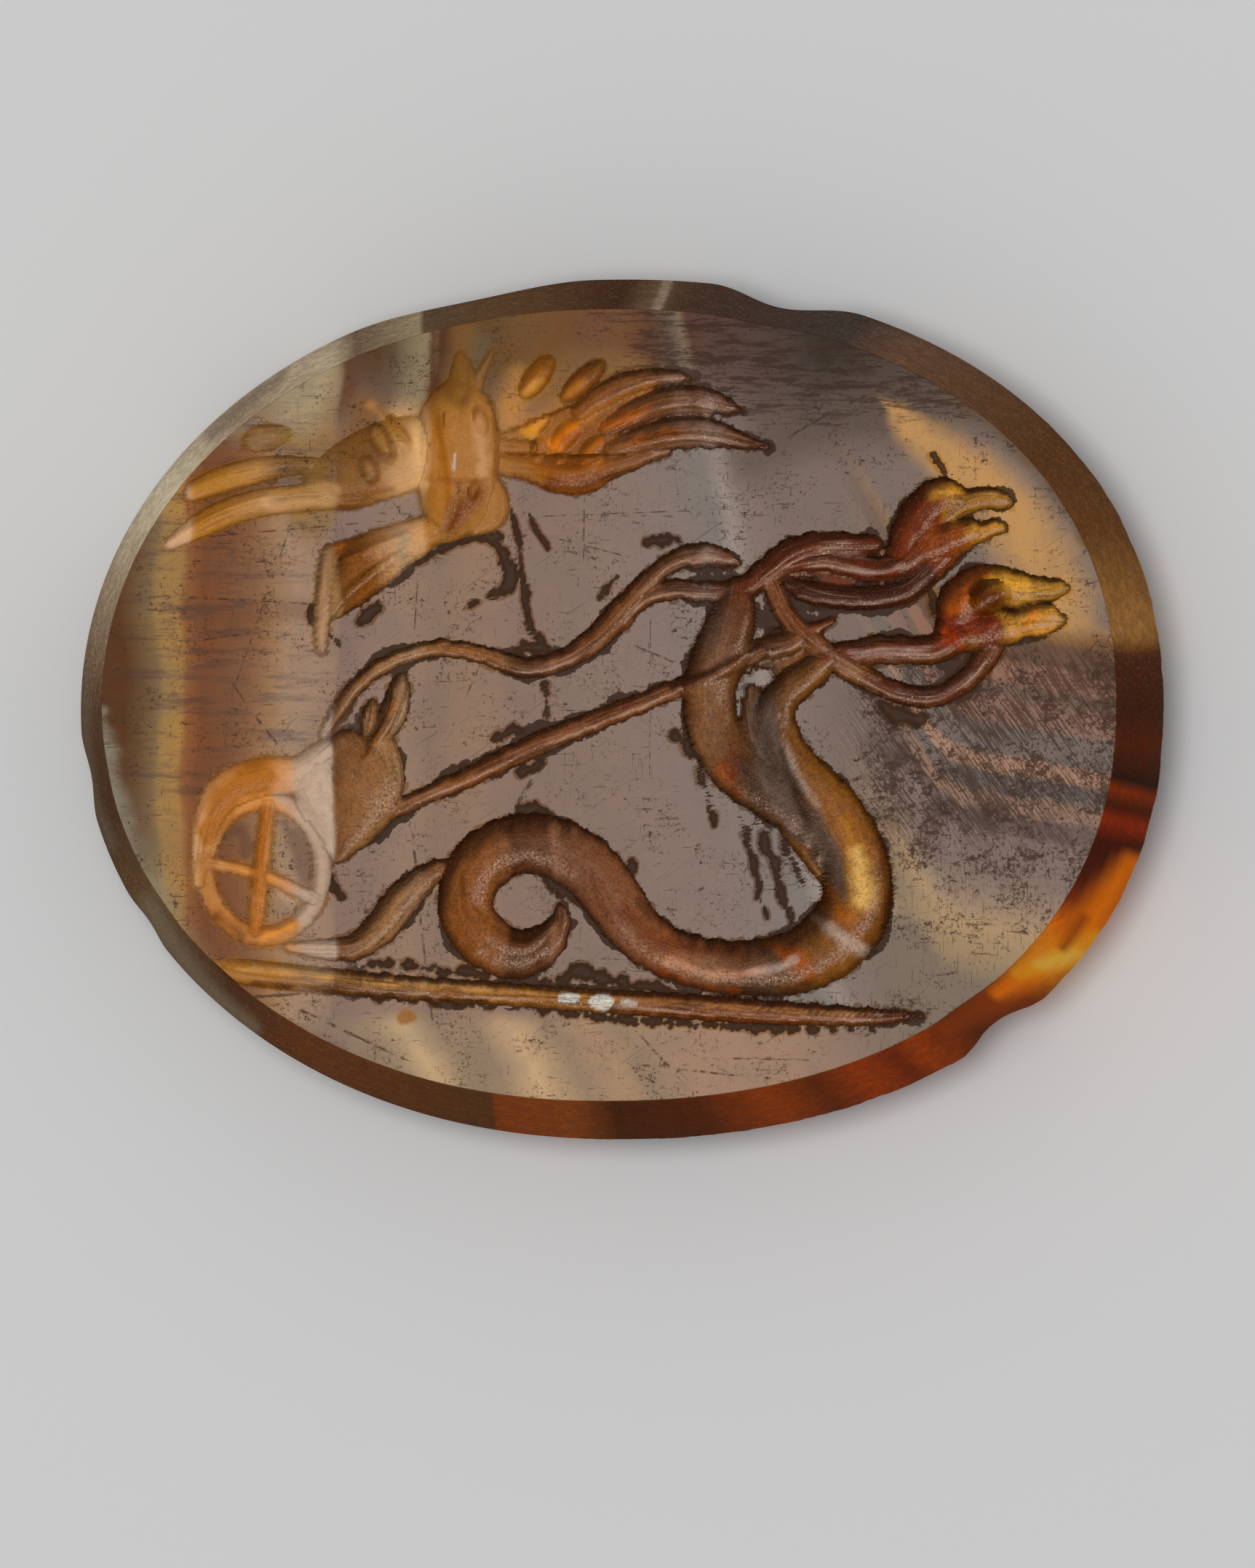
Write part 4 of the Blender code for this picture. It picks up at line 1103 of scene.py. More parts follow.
# Amber and ovals that show through the pale stone over the left wing, in the cuts and beside them.
WING_GLAZES = glaze_table(
    (52, 36, 20, 90, 80, (-32, 27, 3.4), (-31.6, 31, 4), (-30.6, 35, 4)),
    (78, 60, 41, 90, 90, (-26.4, 27.6, 2.8), (-26.8, 31, 3.6), (-26.2, 34.6, 3.4)),
    (76, 59, 40, 90, 70, (-42, 24.8, 1.8), (-38, 25.6, 2.4), (-35.2, 26, 2.2)),
    (66, 46, 25, 80, 80, (-29.8, 36.4, 0.9), (-27.4, 34.2, 1.2), (-25.2, 31.4, 0.9)),
    (48, 31, 15, 70, 100, (-29, 36, 0.4), (-26.6, 33.8, 0.45), (-24.9, 31.6, 0.4)),
    (47, 31, 16, 85, 50, (-29.6, 33.2, 1.4), (-28, 30.4, 1.4)),
    (70, 53, 34, 90, 90, (-29.5, 33, 0.9), (-28.2, 30.9, 0.9)),
    (48, 33, 19, 60, 60, (-30.7, 29.6, 1.1), (-30, 27.7, 1.1)),
    (68, 50, 33, 80, 100, (-30.7, 29.4, 0.7), (-30.1, 28, 0.7)),
    (48, 30, 14, 70, 100, (-34, 25.6, 1.2), (-31, 25.8, 1.2), (-27.6, 26.4, 0.8)),
)

# Colours in the cuts: mostly the stone's own, with the painted highlights, painted sheen and painted shade
# marked below.
CUT_GLAZES = glaze_table(
    (56, 38, 15, 70, 40, (-47, -31, 2), (-30, -32.8, 2), (-19, -33.6, 2)),
    (64, 42, 16, 75, 40, (-19, -33.6, 2), (0, -35, 2)),
    (40, 20, 9, 90, 40, (0, -35, 2), (20, -36.2, 1.8), (34, -36.6, 1.4)),
    (36, 19, 7, 70, 80, (-44, -32.4, 0.5), (-30, -33.6, 0.5), (-16, -34.6, 0.5)),
    # The next two are painted highlight lines along the ground line.
    (72, 60, 44, 45, 100, (-44, -30.6, 0.35), (-28, -32.2, 0.4), (-12, -33.5, 0.35)),
    (66, 55, 47, 60, 100, (2, -34.9, 0.35), (16, -35.7, 0.4), (31, -36.5, 0.3)),
    (58, 29, 9, 60, 100, (2, -36.2, 0.4), (16, -37, 0.4), (28, -37.2, 0.3)),
    (54, 33, 19, 70, 50, (-27, -12.5, 2), (-12, -5, 2), (6, 2.2, 2)),
    (40, 19, 8, 60, 100, (-20, -8.3, 0.5), (-8, -3.1, 0.5), (4, 1.6, 0.5)),
    (63, 37, 11, 90, 60, (-49.5, -14.5, 2), (-46.8, -9.8, 2.6), (-43, -8, 2.6)),
    (66, 43, 22, 85, 60, (-49.8, -18, 1.6), (-48.6, -24, 1.6), (-44, -26.8, 1.6), (-39.5, -26, 1.4)),
    (80, 64, 46, 70, 100, (-51, -15, 0.5), (-51, -22, 0.5), (-49.4, -25.4, 0.5)),
    (48, 27, 10, 85, 100, (-48.4, -24.4, 1), (-45.6, -26.8, 1)),
    (90, 58, 23, 90, 100, (-42.6, -27, 0.9), (-39.8, -25.8, 1.1)),
    (88, 58, 28, 90, 100, (-42.5, -12.4, 1), (-42.9, -17, 1)),
    (64, 37, 13, 85, 60, (-42.6, -12, 1.2), (-43.2, -18.5, 1.2), (-43.8, -26, 1.2)),
    (68, 57, 48, 85, 60, (-41, -10.2, 1.3), (-37, -13, 1.5), (-35.8, -18.8, 1.5), (-37.4, -24, 1.4)),
    (54, 37, 23, 80, 80, (-33, -5.4, 2.4), (-31.6, -9, 3.4), (-32.4, -14, 2.4)),
    (55, 39, 24, 80, 80, (-28.6, -5.6, 2), (-28.8, -11, 2), (-30.2, -16, 1.6)),
    (60, 36, 16, 85, 100, (-31, -6, 0.9), (-28.8, -2.6, 1), (-27.6, 0.6, 0.9)),
    (70, 55, 38, 70, 100, (-26.6, -3, 0.7), (-25.9, 1, 0.7)),
    (60, 28, 8, 80, 90, (12.2, -7.4, 1.2), (13.8, -10.4, 1.1)),
    (25, 17, 12, 85, 80, (14.4, -6.6, 1), (15.6, -9.6, 1.2), (17.4, -12, 1)),
    (37, 30, 26, 97, 35, (17.2, 0.5, 1.6), (17.4, -3.5, 1.9), (18.6, -8, 2.5), (21.2, -12.6, 2.9),
     (24.2, -16.9, 1.9), (25.6, -20.5, 1.3), (26.2, -22.8, 0.7)),
    (22, 14, 9, 90, 90, (19, -5, 0.7), (20.6, -9.4, 0.9), (22.2, -14.2, 0.8), (23.4, -17.6, 0.4)),
    (55, 35, 19, 80, 80, (23.6, -9.6, 2.2), (27, -14, 2.9), (29.5, -17.5, 2.4)),
    (26, 12, 6, 80, 100, (28.6, -9.6, 0.9), (31.2, -14.5, 1.2), (32.4, -20, 1.1), (31.4, -26, 0.9)),
    (66, 42, 15, 80, 100, (26.4, -13.6, 1.4), (28, -17.4, 2.2), (28.8, -21, 2.8), (28.2, -24.6, 2.4)),
    (100, 78, 42, 95, 100, (28, -17, 1.3), (28.6, -20, 2.2), (28.6, -23.4, 1.8)),
    (62, 34, 11, 85, 100, (24.6, -22, 1.4), (26.4, -24.6, 2.2), (28.4, -26.4, 1.6)),
    (42, 20, 10, 85, 100, (0.4, -24.2, 1.7), (4.2, -27.6, 1.8), (9.6, -28.4, 1.7), (14, -28.6, 1.2)),
    (30, 17, 11, 70, 100, (1.8, -22.6, 1), (4.4, -25.2, 1.3), (8.6, -27, 1.1)),
    (36, 16, 6, 70, 100, (13, -4, 0.9), (13.2, -8, 1), (13.8, -11.5, 0.9)),
    # Painted highlight along the bottom of the serpent's lower stretch.
    (78, 54, 41, 80, 100, (5.6, -30, 1), (8.6, -30.9, 1.2), (12.4, -31.6, 1.2), (16.4, -31.4, 1.1)),
    (46, 29, 20, 70, 100, (14.4, -27.6, 1), (16, -29.6, 1), (18.4, -32.6, 1)),
    (62, 30, 8, 90, 90, (16.8, -26.8, 1.3), (19.4, -28.8, 1.8), (22, -31.2, 1.5)),
    # Painted highlight on the serpent's lower wall.
    (72, 62, 54, 85, 100, (22.6, -24.6, 0.8), (25.9, -26.9, 1.4), (29.2, -29, 0.9)),
    (50, 23, 9, 85, 90, (4.6, -31.4, 0.8), (9, -33.2, 0.8), (14, -33.6, 0.8)),
    (28, 17, 9, 75, 100, (-46, -32.8, 0.4), (-38, -33.4, 0.7), (-26, -34.5, 0.7), (-14, -35.5, 0.4)),
    (24, 16, 13, 70, 100, (14.6, -33.4, 1), (18.6, -33.6, 1), (22, -32.8, 0.8)),
    # Painted highlight streak along the serpent's left side.
    (66, 56, 48, 60, 100, (18.6, -0.4, 0.4), (19.7, -4.7, 0.5), (21.2, -8.3, 0.5), (23.4, -11.6, 0.4)),
    # Painted highlight band low on the serpent.
    (80, 70, 64, 50, 100, (15, -31.2, 0.6), (18, -31, 0.8), (20.5, -29.8, 0.6)),
    (40, 19, 11, 85, 50, (15, 14.8, 2.4), (20, 18.3, 2.4), (30, 19, 2.2), (34, 18, 2.2)),
    (24, 12, 8, 90, 40, (20.2, 14.6, 1.8), (28, 13.1, 1.9), (36, 15.6, 2)),
    (50, 31, 20, 80, 50, (18, 15, 1.6), (21.2, 9.4, 1.6), (27, 5, 1.7)),
    (40, 22, 16, 85, 40, (29.5, 3.2, 1.6), (34, 1.7, 1.6), (39.3, 2.1, 1.6), (44, 7, 1.8)),
    (40, 20, 14, 90, 50, (25.5, 6.7, 2), (31, 7, 2.2), (38, 7.4, 2.2)),
    (42, 16, 3, 95, 70, (33.4, 18, 2.6), (35.4, 22, 3), (36.6, 23.6, 2.4)),
    (80, 58, 22, 90, 100, (37.2, 25.8, 1.7), (39.4, 25.6, 2)),
    (52, 24, 7, 90, 80, (36.4, 19.4, 2.2), (38.4, 21.4, 1.8), (40.8, 20.2, 2.2)),
    (62, 42, 17, 95, 50, (39.4, 23.2, 1.6), (42.8, 24.7, 1.8), (46.2, 24.3, 1.4)),
    (78, 60, 32, 70, 100, (41.8, 25.6, 0.4), (44.6, 25.4, 0.4)),
    (74, 51, 20, 95, 50, (41.6, 20.6, 1.4), (45.4, 21.4, 1.4)),
    (44, 13, 3, 95, 70, (38.4, 8.6, 2.6), (41, 10.4, 2.8), (44.4, 9.4, 2.2)),
    (70, 34, 9, 90, 80, (39.8, 12.6, 2.4), (41.2, 15, 2.4), (43.4, 16.4, 1.8)),
    (84, 60, 22, 95, 80, (44.6, 15.2, 2), (48.6, 14.2, 2.2)),
    (68, 48, 19, 95, 50, (50, 14, 2), (53.2, 14.2, 1.4)),
    (62, 40, 14, 80, 80, (46.4, 11.6, 1.2), (48, 11.6, 1)),
    (80, 55, 22, 95, 50, (47, 9.4, 2), (51.5, 10.4, 2)),
    (96, 56, 13, 90, 100, (47.6, 9.2, 0.7), (48.8, 11, 0.7), (49.4, 12.2, 0.5)),
    (36, 14, 6, 95, 90, (43.6, 13.2, 2.8), (44, 13.2, 2.8)),
    (24, 13, 5, 85, 100, (45.8, 10.8, 0.45), (47.6, 12.2, 0.5), (49.6, 12.6, 0.45), (51.8, 12.4, 0.3)),
    (24, 14, 6, 85, 100, (41.2, 21.8, 0.5), (43.4, 22.9, 0.6), (45.2, 22.9, 0.4)),
    # The next five are painted sheen lines along the necks and the strap.
    (60, 48, 45, 40, 100, (23, 18, 0.4), (26, 18.3, 0.5), (29, 18, 0.4)),
    (66, 54, 52, 60, 100, (26, 17, 0.4), (30, 16.2, 0.6), (33.5, 17, 0.5)),
    (68, 56, 53, 50, 100, (27, 6.7, 0.4), (31.5, 6.6, 0.6), (36.5, 7.2, 0.5)),
    (70, 55, 44, 55, 100, (22.6, 8.4, 0.4), (26.5, 5.6, 0.5), (30.5, 3.4, 0.4)),
    (56, 44, 42, 50, 100, (33, 2, 0.4), (38.5, 2, 0.5), (41.8, 4.2, 0.4)),
    (62, 22, 5, 70, 100, (38.4, 8.8, 0.9), (40.4, 7.4, 0.9)),
    (62, 38, 13, 90, 100, (-21.9, 35, 0.9), (-21.6, 29, 1), (-20.6, 25, 1.6)),
    (90, 70, 46, 90, 100, (-24.4, 37, 1.2), (-24.6, 32, 1.5), (-23.8, 27, 1.2)),
    (40, 20, 5, 90, 90, (-17.6, 25.8, 2), (-19.4, 24, 2.6), (-20.4, 22, 2)),
    (74, 55, 33, 60, 100, (-17, 34.5, 0.7), (-16.8, 34, 0.7)),
    (16, 11, 8, 70, 80, (-21.5, 35.6, 0.2), (-21.3, 33.6, 0.2)),
    (80, 76, 72, 60, 80, (-20.2, 30.5, 0.2), (-20.3, 28.8, 0.2)),
    (16, 11, 8, 70, 80, (-19.8, 27, 0.2), (-19.7, 25.8, 0.2)),
    (50, 34, 17, 85, 60, (-19.4, 38, 2.4), (-19, 40.5, 2.4), (-18.8, 43.5, 2)),
    (50, 28, 8, 90, 90, (-33.6, 18.2, 2.2), (-31, 17, 2.8), (-30.2, 13.4, 2.2)),
    (74, 40, 8, 80, 100, (-34.2, 19.4, 0.6), (-33.6, 19.8, 0.6)),
    (66, 50, 37, 85, 90, (-35.4, 18.6, 0.8), (-35.6, 13, 0.9), (-35.9, 7, 0.9)),
    (62, 53, 42, 60, 100, (-26.4, 21, 1), (-26.2, 16.4, 1.2)),
    (80, 62, 42, 90, 80, (-42, 25, 1.6), (-38, 25.6, 1.8), (-35.2, 26, 1.6)),
    (62, 48, 31, 80, 80, (-38.6, 29, 2.4), (-36, 29.6, 2.4)),
    (66, 45, 19, 80, 100, (-48.4, 26.4, 1), (-45, 27.4, 1.2), (-42.6, 28, 1)),
    (50, 39, 27, 90, 50, (-44, 32.2, 1.8), (-41, 32.8, 1.6)),
    (60, 34, 11, 80, 90, (-12.6, 30.6, 1.6), (-8, 29, 2.2), (-3, 29.4, 2)),
    (40, 19, 5, 80, 100, (-8.6, 27, 1), (-5, 26.6, 1), (-1, 28.2, 0.8)),
    # The next four are painted light on the pits' lower left sides and painted shade on their upper right
    # sides.
    (90, 64, 28, 75, 100, (-11.6, 37.6, 1.2), (-10.6, 39, 1.1)),
    (44, 30, 14, 75, 100, (-9, 41, 1.1), (-8.6, 41.8, 1)),
    (70, 44, 18, 75, 100, (-6.6, 37.4, 1.1), (-5.2, 38.8, 1)),
    (42, 28, 14, 75, 100, (-3.4, 40.4, 1.1), (-2.6, 41.2, 1)),
    # The next three are painted highlights in the wing's ovals.
    (92, 62, 22, 85, 70, (-11, 33.2, 1.3), (-9.4, 34.8, 1.2)),
    (90, 50, 10, 85, 70, (-7.8, 31.8, 1.4), (-5.8, 33.6, 1.3)),
    (68, 38, 12, 80, 70, (-4.6, 30, 1.2), (-2.8, 31.8, 1.1)),
    (74, 46, 18, 60, 100, (-5, 34.2, 1.2), (-1, 36.6, 1.2), (4, 38.2, 0.9)),
    (66, 34, 10, 85, 100, (-2.4, 33.8, 1), (1, 35.2, 1.1), (3.4, 35.8, 0.8)),
    (50, 28, 13, 70, 100, (-6.6, 32, 1.2), (-4, 33.2, 1)),
    (34, 19, 9, 70, 100, (-0.4, 36, 0.5), (3.6, 37.6, 0.6), (7.4, 38.2, 0.4)),
    (30, 16, 8, 75, 100, (0, 33, 0.5), (4, 34.4, 0.6), (9, 34.8, 0.5), (12.6, 34.2, 0.3)),
    (70, 40, 15, 60, 100, (1, 35, 0.5), (4, 36.6, 0.5), (7.4, 37.2, 0.4)),
    (62, 33, 11, 70, 100, (0.6, 31.4, 0.7), (4, 32.6, 0.8), (8, 33.2, 0.5)),
    (60, 48, 40, 45, 100, (6, 39, 2), (8, 34, 2.2), (9.4, 31.6, 1.2)),
    # Painted highlight along the right side of the bird's body.
    (76, 57, 39, 70, 100, (-17.6, 34.6, 1.2), (-16.8, 30.6, 1.5), (-17, 28.4, 1)),
    (56, 35, 16, 70, 100, (-15.4, 34.6, 0.5), (-15, 30, 0.5), (-15.6, 27.2, 0.4)),
    # Painted shade along the body's hem.
    (52, 30, 12, 65, 100, (-23.4, 27.6, 0.5), (-20, 27.2, 0.6), (-16.6, 27.2, 0.5)),
    # Painted shade, then in the next row a painted highlight, where the pole's groove crosses the serpent.
    (22, 13, 9, 75, 70, (6.6, 2.6, 1.2), (10.5, 4.1, 1.2), (13.8, 5.6, 1.3), (16.4, 7, 1.3)),
    (52, 35, 24, 80, 90, (6.8, 2.4, 0.6), (10.5, 3.8, 0.6), (13.8, 5.3, 0.7), (16.4, 6.8, 0.7)),
    # Painted highlight line along the top of the ground line.
    (80, 58, 32, 65, 100, (-46, -30.8, 0.35), (-30, -32.4, 0.4), (-10, -33.8, 0.4), (10, -35.2, 0.4),
     (28, -36.5, 0.3)),
    (38, 20, 7, 70, 100, (-33.6, -32.6, 1.2), (-31.6, -32.8, 1.2)),
    (42, 24, 9, 60, 100, (-26, -33.2, 0.9), (-25, -33.4, 0.9)),
    (50, 27, 8, 65, 90, (2, -35.2, 1.4), (14, -36, 1.3), (26, -36.8, 1)),
    (86, 84, 79, 95, 20, (-7.2, -34.3, 0.9), (-5.8, -34.5, 0.9)),
    (86, 84, 79, 95, 20, (-3.4, -34.7, 0.8), (-2, -34.8, 0.8)),
    (80, 76, 70, 70, 50, (0.2, -34.9, 0.5), (1.3, -35.1, 0.5)),
)

# These lie on the slope, so their places are tenths of a millimetre from the stone's middle.
RIM_GLAZES = glaze_table(
    (42, 37, 30, 70, 100, (-56, -24, 3), (-50, -33, 3), (-44, -38, 2)),
    (36, 31, 25, 70, 100, (-64, 4, 2), (-64, -8, 2), (-61, -16, 2)),
    (43, 37, 31, 80, 90, (-48.5, 33, 2), (-44, 37, 2), (-40.5, 39.8, 1.4)),
    (52, 22, 7, 60, 100, (40, -38.6, 1.6), (44, -36, 2.8), (49, -32.8, 3.2)),
    # The next three are a painted glow: light shining through the stone at the lower right.
    (98, 50, 9, 95, 100, (46, -34.4, 1.2), (51, -31, 2.9), (56.6, -25.8, 3.2), (61.4, -18.6, 2)),
    (100, 66, 17, 95, 100, (48.6, -32, 1.2), (51.6, -30.6, 2.3), (54.2, -29.4, 2.4), (57.2, -27.4, 1.4)),
    (100, 80, 34, 80, 100, (50.8, -31, 0.9), (53, -30.2, 1.4), (55, -29.4, 1.1)),
    (48, 21, 5, 85, 100, (53.6, -28.8, 0.9), (54.8, -27, 1.3), (56, -25.2, 1)),
)


@dataclass(frozen=True)
class AgateFinish:
    """The banded agate: bands, polish, cuts and wear, in one material.

    The tables hold the colours as they look in this scene's light. The light that the polish
    mirrors is taken off them, and the rest is set against the light that falls on the stone. The
    polish is a clear coat, thick over the pale bands and thin over the dark ones.

    Attributes:
        name: The material's name.
        mirrored: The light that a full coat mirrors to the camera.
        polish_share: The most of a colour's weakest part that may be mirrored light.
        bow: How sharply the right end's bands turn, in square millimetres.
        light_way: The way along the face that the cuts' walls with painted shade look; the walls that
            look the other way get painted highlights.
        worn: The linear colour of a break in the polish. The colours after it are the face's smears and
            clouds; the cuts' painted shade, which also darkens their grain and tool marks; the painted
            sheen on their tool marks, their painted highlights, the painted shade along their edges and
            their painted glints; and the rim's grain, its darker lower part, its pits and its pale
            specks, which are partly painted glints.
    """

    name: str = SLOT
    mirrored: float = 0.32
    polish_share: float = 0.62
    polish_roughness: float = 0.16
    matt_roughness: float = 0.6
    cut_gloss: float = 0.13
    rim_gloss: float = 0.04
    worn_gloss: float = 0.03
    bow: float = 0.03
    light_way: Point = (0.55, -0.83, 0.0)
    worn: Linear = (0.050, 0.024, 0.014, 1.0)
    smear: Linear = (0.10, 0.036, 0.018, 1.0)
    cloud: Linear = (0.12, 0.075, 0.055, 1.0)
    # Painted shade in the cuts; the same dark also darkens their mottles, grain and tool marks.
    painted_shade_and_grain: Linear = (0.035, 0.011, 0.004, 1.0)
    # A painted sheen laid on the pale streaks of the cuts' tool marks.
    painted_sheen: Linear = (0.44, 0.28, 0.19, 1.0)
    # A painted highlight on the cuts' walls that look against light_way.
    painted_highlight: Linear = (0.60, 0.38, 0.27, 1.0)
    # Painted shade along the cuts' edges.
    painted_edge_shade: Linear = (0.02, 0.008, 0.004, 1.0)
    # Painted glints, most on the cuts' walls with painted highlights.
    painted_glint: Linear = (0.85, 0.72, 0.62, 1.0)
    rim_grain: Linear = (0.04, 0.02, 0.01, 1.0)
    rim_low: Linear = (0.06, 0.034, 0.02, 1.0)
    rim_pit: Linear = (0.06, 0.035, 0.02, 1.0)
    # Pale specks on the rim's left: grain, partly painted glints.
    rim_speck_and_glint: Linear = (0.85, 0.80, 0.70, 1.0)

    def own(self, colour: Colour, surface: Surface) -> Linear:
        """Gives the stone's own colour and gloss for a colour that is seen.

        Args:
            colour: The colour seen.
            surface: The kind of surface that it is seen on.

        Returns:
            The linear colour, with the face's gloss last.
        """
        seen = tone(*colour)
        light, veil = surface.value
        mirrored = min(veil, self.polish_share * min(seen))
        own = [max((part - mirrored) / light, 0.002) for part in seen]
        most = max(1.0, *own)
        return own[0] / most, own[1] / most, own[2] / most, mirrored / self.mirrored

    def banded(self, desk: StoneDesk, value: Reading, table: Bands, surface: Surface) -> Look:
        """Lays a table's bands along a value, in the stone's own colours.

        Args:
            desk: The material's nodes.
            value: The value, in the table's unit.
            table: The bands.
            surface: The kind of surface that they are seen on.

        Returns:
            The look.
        """
        stops = tuple((place, self.own(shares(colour), surface)) for place, *colour in table)
        return desk.bands(value, stops)

    @staticmethod
    def glazed(desk: StoneDesk, colour: Socket, name: str) -> tuple[Socket, Reading]:
        """Lays the stone's stored glazes over a colour.

        Args:
            desk: The material's nodes.
            colour: The colour under them.
            name: The attribute that holds them.

        Returns:
            The colour with them, and the share of what is under them that still shows.
        """
        stored = desk.stored(name).outputs
        bare = 1.0 - Reading(desk, stored["Alpha"])
        inputs = {0: colour, 1: bare, 2: stored["Color"]}
        return desk.node("ShaderNodeVectorMath", inputs, operation="MULTIPLY_ADD").outputs[0], bare

    def build(self) -> bpy.types.Material:
        """Makes the material.

        Returns:
            The material.
        """
        material = bpy.data.materials.new(self.name)
        material.use_nodes = True
        desk = StoneDesk(material.node_tree)
        ragged = desk.edge * (1.0 - desk.calm * 0.85) + desk.fine * 0.015
        cut = ragged.step(-0.006, 0.008) * (1.0 - desk.read("haze"))
        rim = desk.read("rim")
        look = self.face_look(desk)
        broken = Look(desk.mix(0.92, look.colour, self.worn), self.worn_gloss)
        look = desk.cover(self.wear(desk), look, broken)
        look = desk.cover(cut, look, self.cut_look(desk))
        look = desk.cover(rim, look, self.rim_look(desk))
        normal = self.relief(desk, cut, rim)
        desk.feed(material.node_tree.nodes["Principled BSDF"].inputs, {
            "Base Color": look.colour, "Coat Weight": look.gloss, "Normal": normal, "Coat Normal": normal,
            "Coat Roughness": self.polish_roughness, "Roughness": self.matt_roughness,
            "Specular IOR Level": 0.0})
        return material

    def face_look(self, desk: StoneDesk) -> Look:
        """Gives the polished face's look.

        Args:
            desk: The material's nodes.

        Returns:
            The look.
        """
        x, y, drift = desk.x, desk.y, desk.drift
        lean = y * 0.22 * x.step(-1.0, 1.0)
        lean_low = (y + 3.4).least(0.0) * 0.65 * x.step(-2.0, -1.0)
        wide = x + lean + lean_low + drift * 0.35
        look = self.banded(desk, wide, FACE_BANDS, Surface.FACE)
        upper = self.banded(desk, wide, UPPER_FACE_BANDS, Surface.FACE)
        look = desk.cover((y + drift * 0.8).step(2.9, 4.1), look, upper)
        low = self.banded(desk, x + (y + 3.95) * 0.6 + drift * 0.3, LOW_FACE_BANDS, Surface.FACE)
        look = desk.cover(y.step(-3.55, -3.8) * x.step(-4.2, -3.2), look, low)
        colour, bare = self.glazed(desk, look.colour, "glaze")
        gloss = look.gloss * bare + desk.read("glaze_gloss")
        smear = desk.streaks(0.9, 6.0, 4.0, 0.75).step(0.46, 0.70, 0.0, 0.7)
        colour = desk.mix(smear * x.step(-3.0, -4.0) * y.step(-1.9, -0.6), colour, self.smear)
        cloud = desk.noise(desk.flat, 1.6, 4.0, 0.65).step(0.62, 0.36, 0.0, 0.2)
        colour = desk.mix(cloud, colour, self.cloud)
        level = self.right_level(desk)
        share = (x + drift * 0.6).step(2.5, 3.8) * level.step(1.35, 1.05)
        return desk.cover(share, Look(colour, gloss), self.banded(desk, level, RIGHT_BANDS, Surface.FACE))

    def right_level(self, desk: StoneDesk) -> Reading:
        """Gives how high a place lies across the right end's bands, which rise to their left.

        Args:
            desk: The material's nodes.

        Returns:
            The height in millimetres.
        """
        out = desk.x - 3.85
        bowed = desk.math("SQRT", out * out + self.bow)
        frayed = desk.streaks(4.0, 9.0, 3.0, 0.7) - 0.5
        return desk.y + out * 0.92 - bowed * 0.77 + desk.drift * 0.12 + frayed * 0.13 + 0.05

    def cut_look(self, desk: StoneDesk) -> Look:
        """Gives the look in the cuts, where the stone shows without its polish, with painted shade,
        painted highlights, a painted sheen and painted glints laid over its colour.

        Args:
            desk: The material's nodes.

        Returns:
            The look.
        """
        flat, edge, along = desk.flat, desk.edge, desk.x + desk.drift * 0.3
        lower = self.banded(desk, along, LOWER_CUT_BANDS, Surface.CUT)
        upper = self.banded(desk, along, UPPER_CUT_BANDS, Surface.CUT)
        colour = desk.mix(desk.y.step(0.4, 1.2), lower.colour, upper.colour)
        colour, _ = self.glazed(desk, colour, "cut_glaze")
        middle, slim = desk.read("middle"), desk.read("slim")
        bold = 1.0 - desk.calm * 0.62
        grain = desk.noise(flat, 27.0, 3.0, 0.7)
        strand = desk.tool_marks(1.5, 23.0, 3.0, 0.65)
        streaky = bold * (slim * 0.82 + 0.18)
        # How far the normal leans along light_way; the painted shade and painted highlights follow it.
        normal = desk.node("ShaderNodeTexCoord", {}).outputs["Normal"]
        slope = desk.node("ShaderNodeVectorMath", {0: normal, 1: self.light_way}, operation="DOT_PRODUCT")
        leaning = Reading(desk, slope.outputs["Value"])
        # Where the painted highlights lie: walls that look against light_way, away from the cuts' edges.
        painted_highlight_band = abs(leaning + 0.27).step(0.24, 0.02) * bold * middle.step(0.2, 0.6)
        glint = desk.blend(slim, grain, strand).step(0.38, 0.66, 0.10, 0.62)
        # Painted shade on the cuts' walls, near their edges.
        wall_shade = middle.step(0.34, 0.0, 0.0, 0.55).most(edge.step(0.07, 0.0, 0.0, 0.6))
        for share, over in (
            # Random mottles, grain and the tool marks' dark streaks, in the same dark as the painted
            # shade.
            (desk.noise(flat, 9.0, 3.0, 0.65).step(0.58, 0.36, 0.0, 0.22) * bold, self.painted_shade_and_grain),
            (grain.step(0.50, 0.32, 0.0, 0.42) * bold * bold, self.painted_shade_and_grain),
            (strand.step(0.50, 0.34, 0.0, 0.65) * streaky, self.painted_shade_and_grain),
            # The tool marks' pale streaks get the painted sheen.
            (strand.step(0.54, 0.70, 0.0, 0.36) * streaky, self.painted_sheen),
            # Painted shade on the walls that look along light_way.
            (leaning.step(0.04, 0.55, 0.0, 0.8) * bold, self.painted_shade_and_grain),
            # Painted highlights, broken up by grain and tool marks.
            (painted_highlight_band * glint, self.painted_highlight),
            # Painted shade on the walls, then a darker painted line along the edges.
            (wall_shade * bold, self.painted_shade_and_grain),
            (edge.step(0.02, 0.0, 0.0, 0.5) * bold, self.painted_edge_shade),
            # Painted glints, most where the painted highlights lie.
            (desk.noise(flat, 42.0, 1.0).step(0.68, 0.78) * (painted_highlight_band * 0.85 + 0.08), self.painted_glint),
        ):
            colour = desk.mix(share, colour, over)
        return Look(colour, self.cut_gloss)

